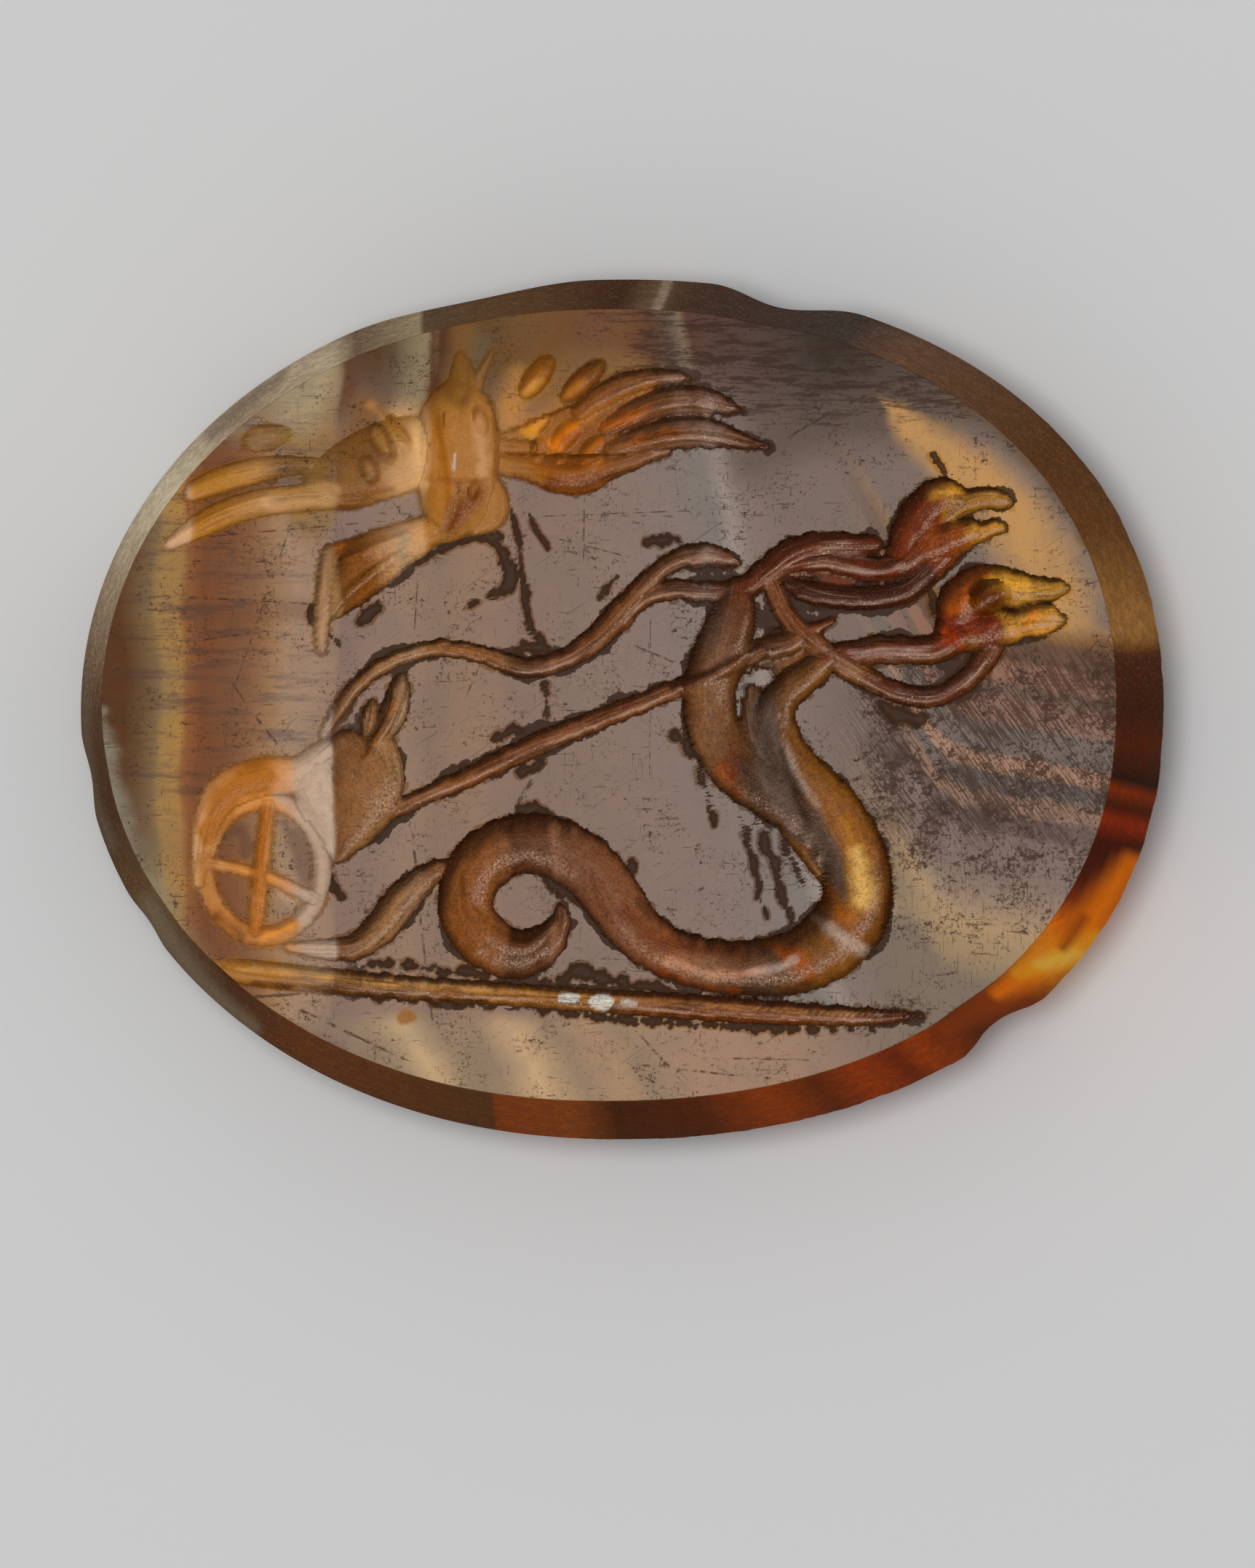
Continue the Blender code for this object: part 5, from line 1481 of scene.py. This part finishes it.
    @staticmethod
    def wear(desk: StoneDesk) -> Reading:
        """Gives where the polish is broken: chips, scratches, streaks and dust.

        Args:
            desk: The material's nodes.

        Returns:
            The share, 0 to 1.
        """
        flat, x, y, fine = desk.flat, desk.x, desk.y, desk.fine
        sharp = 1.0 - desk.calm
        patch = desk.noise(flat, 1.3, 2.0, 0.6)
        reach = (patch - 0.47).most(0.0) * 0.42 * sharp
        fringe = (desk.edge + reach + fine * 0.09 + 0.004).step(-0.004, 0.008) * sharp
        dashes = desk.noise(flat, 6.0, 2.0, 0.7).step(0.40, 0.60) * desk.read("close")
        cluster = desk.noise(flat, 1.8, 3.0, 0.65).step(0.40, 0.64)
        right = x.step(2.3, 3.4) * y.step(1.1, 0.3)
        dense = right * y.step(-2.8, -1.7, 0.45, 1.0)
        hatched = right * y.step(-2.0, -1.1)
        upper = y.step(2.2, 3.2) * x.step(-0.6, 1.2, 0.0, 0.4)
        top = y.step(3.1, 3.7) * x.step(-0.6, 0.4)
        low_right = right * y.step(-1.2, -1.8)
        crowd = dense.most(upper).most(0.26) * 0.10 + cluster * 0.085 + hatched * 0.025
        level = desk.streaks(2.2, 22.0, 3.0, 0.7) + top * 0.12 + cluster * 0.07
        slant = desk.streaks(46.0, 2.0, 3.0, 0.65, turn=-35.0) + patch * 0.45 - 0.20
        worn = (desk.read("chip") + fine * 0.06).step(-0.008, 0.006).most(fringe)
        for share, strength in (
            ((abs(desk.read("scratch")) + fine * 1.6).step(1.4, 0.5) * dashes, 0.8),
            ((desk.streaks(24.0, 17.0, 4.0, 0.8) + crowd).step(0.70, 0.735), 0.85),
            ((desk.streaks(7.0, 11.0, 6.0, 0.85) + crowd).step(0.70, 0.725), 0.95),
            (level.step(0.68, 0.78), 0.65),
            ((desk.streaks(1.4, 9.5, 6.0, 0.8) + top * 0.12).step(0.645, 0.68) * top, 0.85),
            ((desk.streaks(42.0, 2.4, 2.0, 0.7) + low_right * 0.06).step(0.69, 0.79), 0.6),
            (slant.step(0.48, 0.62) * hatched, 0.8),
            (desk.streaks(50.0, 0.8, 2.0, 0.6, turn=55.0).step(0.71, 0.78), 0.55),
        ):
            worn = worn.most(share * strength)
        return worn.least(1.0)

    def rim_look(self, desk: StoneDesk) -> Look:
        """Gives the sloping rim's, the girdle's and the back's look, with a painted glow of light
        shining through the stone at the lower right, and pale specks on the left that are partly
        painted glints.
        """
        along, across, height = desk.split(desk.solid)
        turn = desk.math("ARCTAN2", across, along) * (180.0 / math.pi) + desk.drift * 4.0
        turn = desk.math("WRAP", turn, 360.0, 0.0)
        upper = self.banded(desk, turn, UPPER_RIM_BANDS, Surface.RIM)
        lower = self.banded(desk, turn, LOWER_RIM_BANDS, Surface.RIM)
        colour = desk.mix(desk.math("GREATER_THAN", turn, 180.0), upper.colour, lower.colour)
        dark = desk.noise(desk.solid, 7.0, 4.0, 0.7, "3D").step(0.42, 0.62, 0.3, 0.0)
        colour = desk.mix(dark, colour, self.rim_grain)
        colour = desk.mix(height.step(1.7, 1.0, 0.0, 0.12), colour, self.rim_low)
        colour, _ = self.glazed(desk, colour, "glaze")
        coarse = desk.noise(desk.solid, 26.0, 3.0, 0.7, "3D")
        left = along.step(-1.5, -4.5, 0.25, 1.0)
        colour = desk.mix(coarse.step(0.44, 0.30, 0.0, 0.55) * left, colour, self.rim_pit)
        # Pale specks, stronger towards the upper side: grain, partly painted glints.
        pale = coarse.step(0.53, 0.72, 0.0, 0.5) * left * across.step(-0.5, 1.0, 0.2, 1.0)
        return Look(desk.mix(pale, colour, self.rim_speck_and_glint), self.rim_gloss)

    @staticmethod
    def relief(desk: StoneDesk, cut: Reading, rim: Reading) -> Socket:
        """Gives the fine relief: tool marks in the cuts and grain on the rim.

        Args:
            desk: The material's nodes.
            cut: Where the cuts are.
            rim: Where the rim is.

        Returns:
            The normal.
        """
        grain = desk.noise(desk.solid, 24.0, 2.0, 0.6, "3D")
        tooled = desk.tool_marks(2.0, 26.0, 2.0, 0.6) * 0.007 + grain * 0.012
        pitted = desk.noise(desk.solid, 5.0, 4.0, 0.7, "3D") * 0.05 + grain * 0.008
        height = cut * tooled + rim * pitted
        return desk.node("ShaderNodeBump", {"Distance": MM, "Height": height}).outputs[0]


def paint(glazes: tuple[Glaze, ...], x: np.ndarray, y: np.ndarray, finish: AgateFinish,
          surface: Surface) -> np.ndarray:
    """Lays glazes over one another at some places.

    Args:
        glazes: The glazes, the lowest first.
        x: Places along the face.
        y: Places across the face.
        finish: The finish that turns a seen colour into the stone's own.
        surface: The kind of surface they lie on.

    Returns:
        One row for each place: red, green, blue, gloss and cover, the first four times the cover.
    """
    rows = np.zeros((len(x), 5))
    uneven = 0.30 * wander(x, y, 0.12, 21) + 0.16 * wander(x, y, 0.4, 22)
    uneven *= surface is not Surface.RIM
    for patch in glazes:
        found = trace(Stroke("glaze", patch.knots), x, y)
        inside = found.inside + uneven * np.minimum(found.width, 1.0)
        share = patch.strength * ease(inside / (patch.softness * found.width), 0.0, 1.0)
        layer = np.array((*finish.own(patch.colour, surface), 1.0))
        rows = rows * (1.0 - share[:, None]) + layer * share[:, None]
    return rows


def stand(bm: bmesh.types.BMesh, name: str) -> bpy.types.Object:
    """Makes an object of a finished shape, at the origin.

    Args:
        bm: The shape, freed here.
        name: The name of the object and of its mesh.

    Returns:
        The object.
    """
    mesh = bpy.data.meshes.new(name)
    bm.to_mesh(mesh)
    bm.free()
    made = bpy.data.objects.new(name, mesh)
    bpy.context.scene.collection.objects.link(made)
    return made


@dataclass
class Ringstone:
    """The carved stone: face, rim, girdle and back in one closed mesh.

    Attributes:
        cells: How many cells the face's sheet has each way.
        snap: How far a point may move to a cut's edge, as a share of a cell.
        crisp_degrees: Edges sharper than this stay crisp.
        edge_drop: How far the first ring lies below the face.
        edge_reach: How far it lies outside the face.
        rim_wear: How far the rim's surface wanders.
        rim_span: The rim's radius for that wandering, in tenths of a millimetre.
    """

    low: Vector
    high: Vector
    finish: AgateFinish = field(default_factory=AgateFinish)
    blank: Blank = field(default_factory=Blank)
    carving: Carving = field(default_factory=Carving)
    cells: int = 292
    snap: float = 0.45
    crisp_degrees: float = 38.0
    edge_drop: float = 0.00002
    edge_reach: float = 0.000012
    rim_wear: float = 0.000012
    rim_span: float = 60.0

    def radius(self, angle: np.ndarray, chip_share: float) -> np.ndarray:
        """Gives the outline's radius at some bearings.

        Args:
            angle: Bearings in radians.
            chip_share: The share of the old chips' depth that is taken off.

        Returns:
            The radii in metres.
        """
        blank = self.blank
        half_length = 0.5 * (self.high.x - self.low.x)
        half_width = 0.5 * (self.high.y - self.low.y)
        right = 0.5 * (1.0 + np.cos(angle))
        fullness = blank.fullness_left + (blank.fullness_right - blank.fullness_left) * right
        across = np.abs(np.cos(angle)) / half_length
        upward = np.abs(np.sin(angle)) / half_width
        radius = (across ** fullness + upward ** fullness) ** (-1.0 / fullness)
        for bearing, half_span, depth in blank.chips:
            offset = (np.degrees(angle) - bearing + 180.0) % 360.0 - 180.0
            dip = np.cos(0.5 * math.pi * np.clip(offset / half_span, -1.0, 1.0)) ** 2
            radius = radius - chip_share * depth * dip
        return radius

    def face_places(self, grid: np.ndarray) -> np.ndarray:
        """Moves a square sheet's points onto the oval face, evenly spread.

        Args:
            grid: The sheet's points, from -1 to 1 both ways.

        Returns:
            Their places on the face in metres.
        """
        a, b = grid[:, 0], grid[:, 1]
        wide = np.abs(a) >= np.abs(b)
        reach = np.where(wide, a, b)
        ratio = np.divide(np.where(wide, b, a), reach, out=np.zeros_like(a), where=np.abs(reach) > 1e-12)
        turn = np.where(wide, 0.25 * math.pi * ratio, 0.5 * math.pi - 0.25 * math.pi * ratio)
        x, y = reach * np.cos(turn), reach * np.sin(turn)
        angle = np.arctan2(y, x)
        edge = self.radius(angle, self.blank.chip_share_at_face) - self.blank.face_bevel
        return np.stack((x * edge, y * edge), axis=1)

    def to_field(self, places: np.ndarray) -> tuple[np.ndarray, np.ndarray]:
        """Turns places in metres into places on the carver's drawing.

        Args:
            places: Places on the face in metres.

        Returns:
            The same places in tenths of a millimetre from the scene's middle.
        """
        return ((places[:, 0] - self.blank.scene_along) / UNIT,
                (places[:, 1] - self.blank.scene_across) / UNIT)

    def snap_to_edges(self, places: np.ndarray, inner: np.ndarray) -> np.ndarray:
        """Moves the points beside a cut's edge onto it, so that the edge is crisp.

        Args:
            places: The face's points in metres.
            inner: Which of them may move.

        Returns:
            The points after the move.
        """
        step = 0.02
        span = self.snap * (self.high.x - self.low.x) * 0.5 * math.sqrt(math.pi) / self.cells / UNIT
        x, y = self.to_field(places)
        edge = self.carving.measure(x, y)["edge"]
        some = np.flatnonzero((np.abs(edge) < span) & inner)
        here = edge[some]
        slope_x = (self.carving.measure(x[some] + step, y[some])["edge"] - here) / step
        slope_y = (self.carving.measure(x[some], y[some] + step)["edge"] - here) / step
        steep = np.maximum(slope_x ** 2 + slope_y ** 2, 0.25)
        moved = places.copy()
        moved[some, 0] -= np.clip(here * slope_x / steep, -span, span) * UNIT
        moved[some, 1] -= np.clip(here * slope_y / steep, -span, span) * UNIT
        return moved

    def rim_levels(self) -> list[tuple[float, float, float, float]]:
        """Lists the rings below the face, down to the back.

        Returns:
            Each ring's height, inset, share of the chips and share of the wear.
        """
        blank, top = self.blank, self.high.z
        upper = blank.girdle_height + 0.5 * blank.girdle_band
        lower = blank.girdle_height - 0.5 * blank.girdle_band
        inset = blank.face_bevel - self.edge_reach
        levels = [(top - self.edge_drop, inset, blank.chip_share_at_face, 0.0)]
        for share in (0.2, 0.4, 0.6, 0.8, 1.0):
            height = top + (upper - top) * share
            chips = blank.chip_share_at_face + (1.0 - blank.chip_share_at_face) * share
            levels.append((height, blank.face_bevel * (1.0 - share), chips, math.sin(math.pi * share)))
        levels.append((lower, 0.0, 1.0, 0.4))
        levels.append((0.5 * lower, 0.5 * blank.back_bevel, 0.8, 0.6))
        levels.append((0.0, blank.back_bevel, blank.chip_share_at_back, 0.0))
        return levels

    def build(self) -> bpy.types.Object:
        """Makes the stone.

        Returns:
            The stone's object, at the origin, with its attributes for the finish.
        """
        bm = bmesh.new()
        bmesh.ops.create_grid(bm, x_segments=self.cells, y_segments=self.cells, size=1.0)
        grid = np.array([vert.co[:2] for vert in bm.verts])
        inner = np.abs(grid).max(axis=1) < 1.0 - 0.5 / self.cells
        places = self.snap_to_edges(self.face_places(grid), inner)
        x, y = self.to_field(places)
        found = self.carving.measure(x, y)
        for vert, place, depth in zip(bm.verts, places, found["depth"]):
            vert.co = (place[0], place[1], self.high.z - depth * UNIT)
        count = len(bm.verts)
        edges = [edge for edge in bm.edges if edge.is_boundary]
        for height, inset, chip_share, wear in self.rim_levels():
            grown = bmesh.ops.extrude_edge_only(bm, edges=edges)["geom"]
            edges = [part for part in grown if isinstance(part, bmesh.types.BMEdge)]
            ring = [part for part in grown if isinstance(part, bmesh.types.BMVert)]
            angle = np.array([math.atan2(vert.co.y, vert.co.x) for vert in ring])
            radius = self.radius(angle, chip_share) - inset
            around = np.cos(angle) * self.rim_span, np.sin(angle) * self.rim_span + height / UNIT
            bump = wander(*around, 0.12, 11) + 0.5 * wander(*around, 0.45, 12)
            radius -= self.rim_wear * wear * np.clip(1.2 + bump, 0.0, 3.0)
            for vert, turn, reach in zip(ring, angle, radius):
                vert.co = (reach * math.cos(turn), reach * math.sin(turn), height)
        bmesh.ops.holes_fill(bm, edges=edges, sides=0)
        bmesh.ops.recalc_face_normals(bm, faces=bm.faces)
        stone = stand(bm, "carved_ringstone")
        self.write_attributes(stone.data, found, count)
        self.write_glazes(stone.data, x, y)
        stone.data.shade_smooth()
        stone.data.set_sharp_from_angle(angle=math.radians(self.crisp_degrees))
        return stone

    def write_attributes(self, mesh: bpy.types.Mesh, found: dict[str, np.ndarray], count: int) -> None:
        """Stores what the finish reads at each point, in millimetres.

        Args:
            mesh: The stone's mesh.
            found: The carving's measures at the face's points.
            count: How many points belong to the face; the rim's and the back's follow them.
        """
        total, outside = len(mesh.vertices), -self.carving.reach * UNIT / MM
        values = {name: (found[name] * UNIT / MM, outside) for name in ("edge", "chip")}
        values["scratch"] = found["scratch"], self.carving.scratch_reach
        values["rim"] = 0.0, 1.0
        values.update((name, (found[name], 0.0)) for name in ("close", "middle", "calm", "haze", "slim"))
        for name, (inner, beyond) in values.items():
            data = np.full(total, beyond, np.float32)
            data[:count] = inner
            mesh.attributes.new(name, "FLOAT", "POINT").data.foreach_set("value", data)
        tool = np.zeros((total, 3), np.float32)
        tool[:count, 0] = found["along"] * UNIT / MM
        tool[:count, 1] = found["side"] * UNIT / MM
        tool[:count, 2] = found["stroke"]
        mesh.attributes.new("tool", "FLOAT_VECTOR", "POINT").data.foreach_set("vector", tool.ravel())

    def write_glazes(self, mesh: bpy.types.Mesh, x: np.ndarray, y: np.ndarray) -> None:
        """Stores the glazes at each point.

        Args:
            mesh: The stone's mesh.
            x: The face's points along the carver's drawing.
            y: The same points across it.
        """
        places = np.empty(3 * len(mesh.vertices))
        mesh.vertices.foreach_get("co", places)
        beyond = places.reshape(-1, 3)[len(x):] / UNIT
        face = paint(FACE_GLAZES + WING_GLAZES, x, y, self.finish, Surface.FACE)
        rim = paint(RIM_GLAZES, beyond[:, 0], beyond[:, 1], self.finish, Surface.RIM)
        cut = paint(WING_GLAZES + CUT_GLAZES, x, y, self.finish, Surface.CUT)
        cut = np.concatenate((cut, np.zeros((len(beyond), 5))))
        for name, rows in (("glaze", np.concatenate((face, rim))), ("cut_glaze", cut)):
            colour = rows[:, (0, 1, 2, 4)].astype(np.float32).ravel()
            mesh.attributes.new(name, "FLOAT_COLOR", "POINT").data.foreach_set("color", colour)
        gloss = np.concatenate((face, rim))[:, 3].astype(np.float32)
        mesh.attributes.new("glaze_gloss", "FLOAT", "POINT").data.foreach_set("value", gloss)


@dataclass(frozen=True)
class FloorFinish:
    """The pale plain paper that the stone lies on."""

    grey: float = 0.78
    roughness: float = 0.8

    def build(self) -> bpy.types.Material:
        """Makes the material.

        Returns:
            The material.
        """
        material = bpy.data.materials.new("pale_paper")
        material.use_nodes = True
        shader = material.node_tree.nodes["Principled BSDF"]
        shader.inputs["Base Color"].default_value = (self.grey, self.grey, self.grey, 1.0)
        shader.inputs["Roughness"].default_value = self.roughness
        return material


@dataclass
class Studio:
    """The floor, the lights and the camera.

    Attributes:
        tilt_along: How far the camera leans towards the stone's right end, in degrees.
        tilt_across: How far it leans towards the stone's lower side, in degrees.
        frame_height: The picture's height at the stone, in metres.
        aim: The point that the camera looks at.
        distance: How far the camera stands from it.
        box_distance: How far the soft box hangs from it.
        box_half_angle: Half the angle that the box fills, in degrees.
    """

    tilt_along: float = 5.4
    tilt_across: float = 1.7
    frame_height: float = 0.018785
    aim: Point = (0.000074, -0.000893, 0.0009)
    distance: float = 0.25
    sensor: float = 36.0
    box_distance: float = 0.12
    box_half_angle: float = 12.0
    box_brightness: float = 8.0
    sky: float = 0.42
    floor_side: float = 1.0

    def leaning(self, side: float) -> Vector:
        """Gives the way up from the stone to the camera or the light.

        Args:
            side: 1 for the camera's side, -1 for the light's.

        Returns:
            The way, one unit long.
        """
        along = side * math.sin(math.radians(self.tilt_along))
        across = -side * math.sin(math.radians(self.tilt_across))
        return Vector((along, across, math.sqrt(1.0 - along ** 2 - across ** 2)))

    def hang(self, data: bpy.types.ID, side: float, distance: float) -> bpy.types.Object:
        """Hangs a camera or a light so that it looks at the aim, with +Y upward in view.

        Args:
            data: The camera or the light.
            side: 1 for the camera's side, -1 for the light's.
            distance: How far from the aim it hangs.

        Returns:
            Its object.
        """
        way = self.leaning(side)
        right = Vector((0.0, 1.0, 0.0)).cross(way).normalized()
        hung = bpy.data.objects.new(data.name, data)
        hung.location = Vector(self.aim) + way * distance
        hung.rotation_mode = "QUATERNION"
        hung.rotation_quaternion = Matrix((right, way.cross(right), way)).transposed().to_quaternion()
        bpy.context.scene.collection.objects.link(hung)
        return hung

    def build(self) -> None:
        """Sets up the whole studio."""
        self.build_floor()
        self.build_light()
        self.build_camera()

    def build_floor(self) -> None:
        """Lays the floor."""
        bm = bmesh.new()
        bmesh.ops.create_grid(bm, x_segments=1, y_segments=1, size=0.5 * self.floor_side)
        floor = stand(bm, "floor")
        floor.data.materials.append(FloorFinish().build())

    def build_light(self) -> None:
        """Hangs one soft box where the polished face mirrors it, and a dim even sky."""
        radius = self.box_distance * math.tan(math.radians(self.box_half_angle))
        light = bpy.data.lights.new("soft_box", "AREA")
        light.shape = "DISK"
        light.size = 2.0 * radius
        light.energy = self.box_brightness * math.pi * math.pi * radius ** 2
        self.hang(light, -1.0, self.box_distance).visible_camera = False
        world = bpy.data.worlds.new("studio")
        world.use_nodes = True
        sky = world.node_tree.nodes["Background"]
        sky.inputs["Color"].default_value = (1.0, 1.0, 1.0, 1.0)
        sky.inputs["Strength"].default_value = self.sky
        bpy.context.scene.world = world

    def build_camera(self) -> None:
        """Sets the camera at the photo's angle, nearly square to the face."""
        lens = bpy.data.cameras.new("camera")
        lens.sensor_width = self.sensor
        lens.lens = self.sensor * self.distance / self.frame_height
        lens.clip_start = 0.01
        lens.clip_end = 10.0
        bpy.context.scene.camera = self.hang(lens, 1.0, self.distance)


def main() -> None:
    """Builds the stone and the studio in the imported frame."""
    logging.basicConfig(level=logging.INFO, format="%(name)s: %(message)s")
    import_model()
    low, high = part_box(NODE)
    stone = Ringstone(Vector(low), Vector(high)).build()
    stone.data.materials.append(AgateFinish().build())
    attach(stone, "root")
    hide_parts(NODE)
    LOG.info("%s: %d faces", stone.name, len(stone.data.polygons))
    Studio().build()
    LOG.info("floor, light and camera are set")
    bpy.context.scene.view_settings.view_transform = "Standard"


if __name__ == "__main__":
    main()
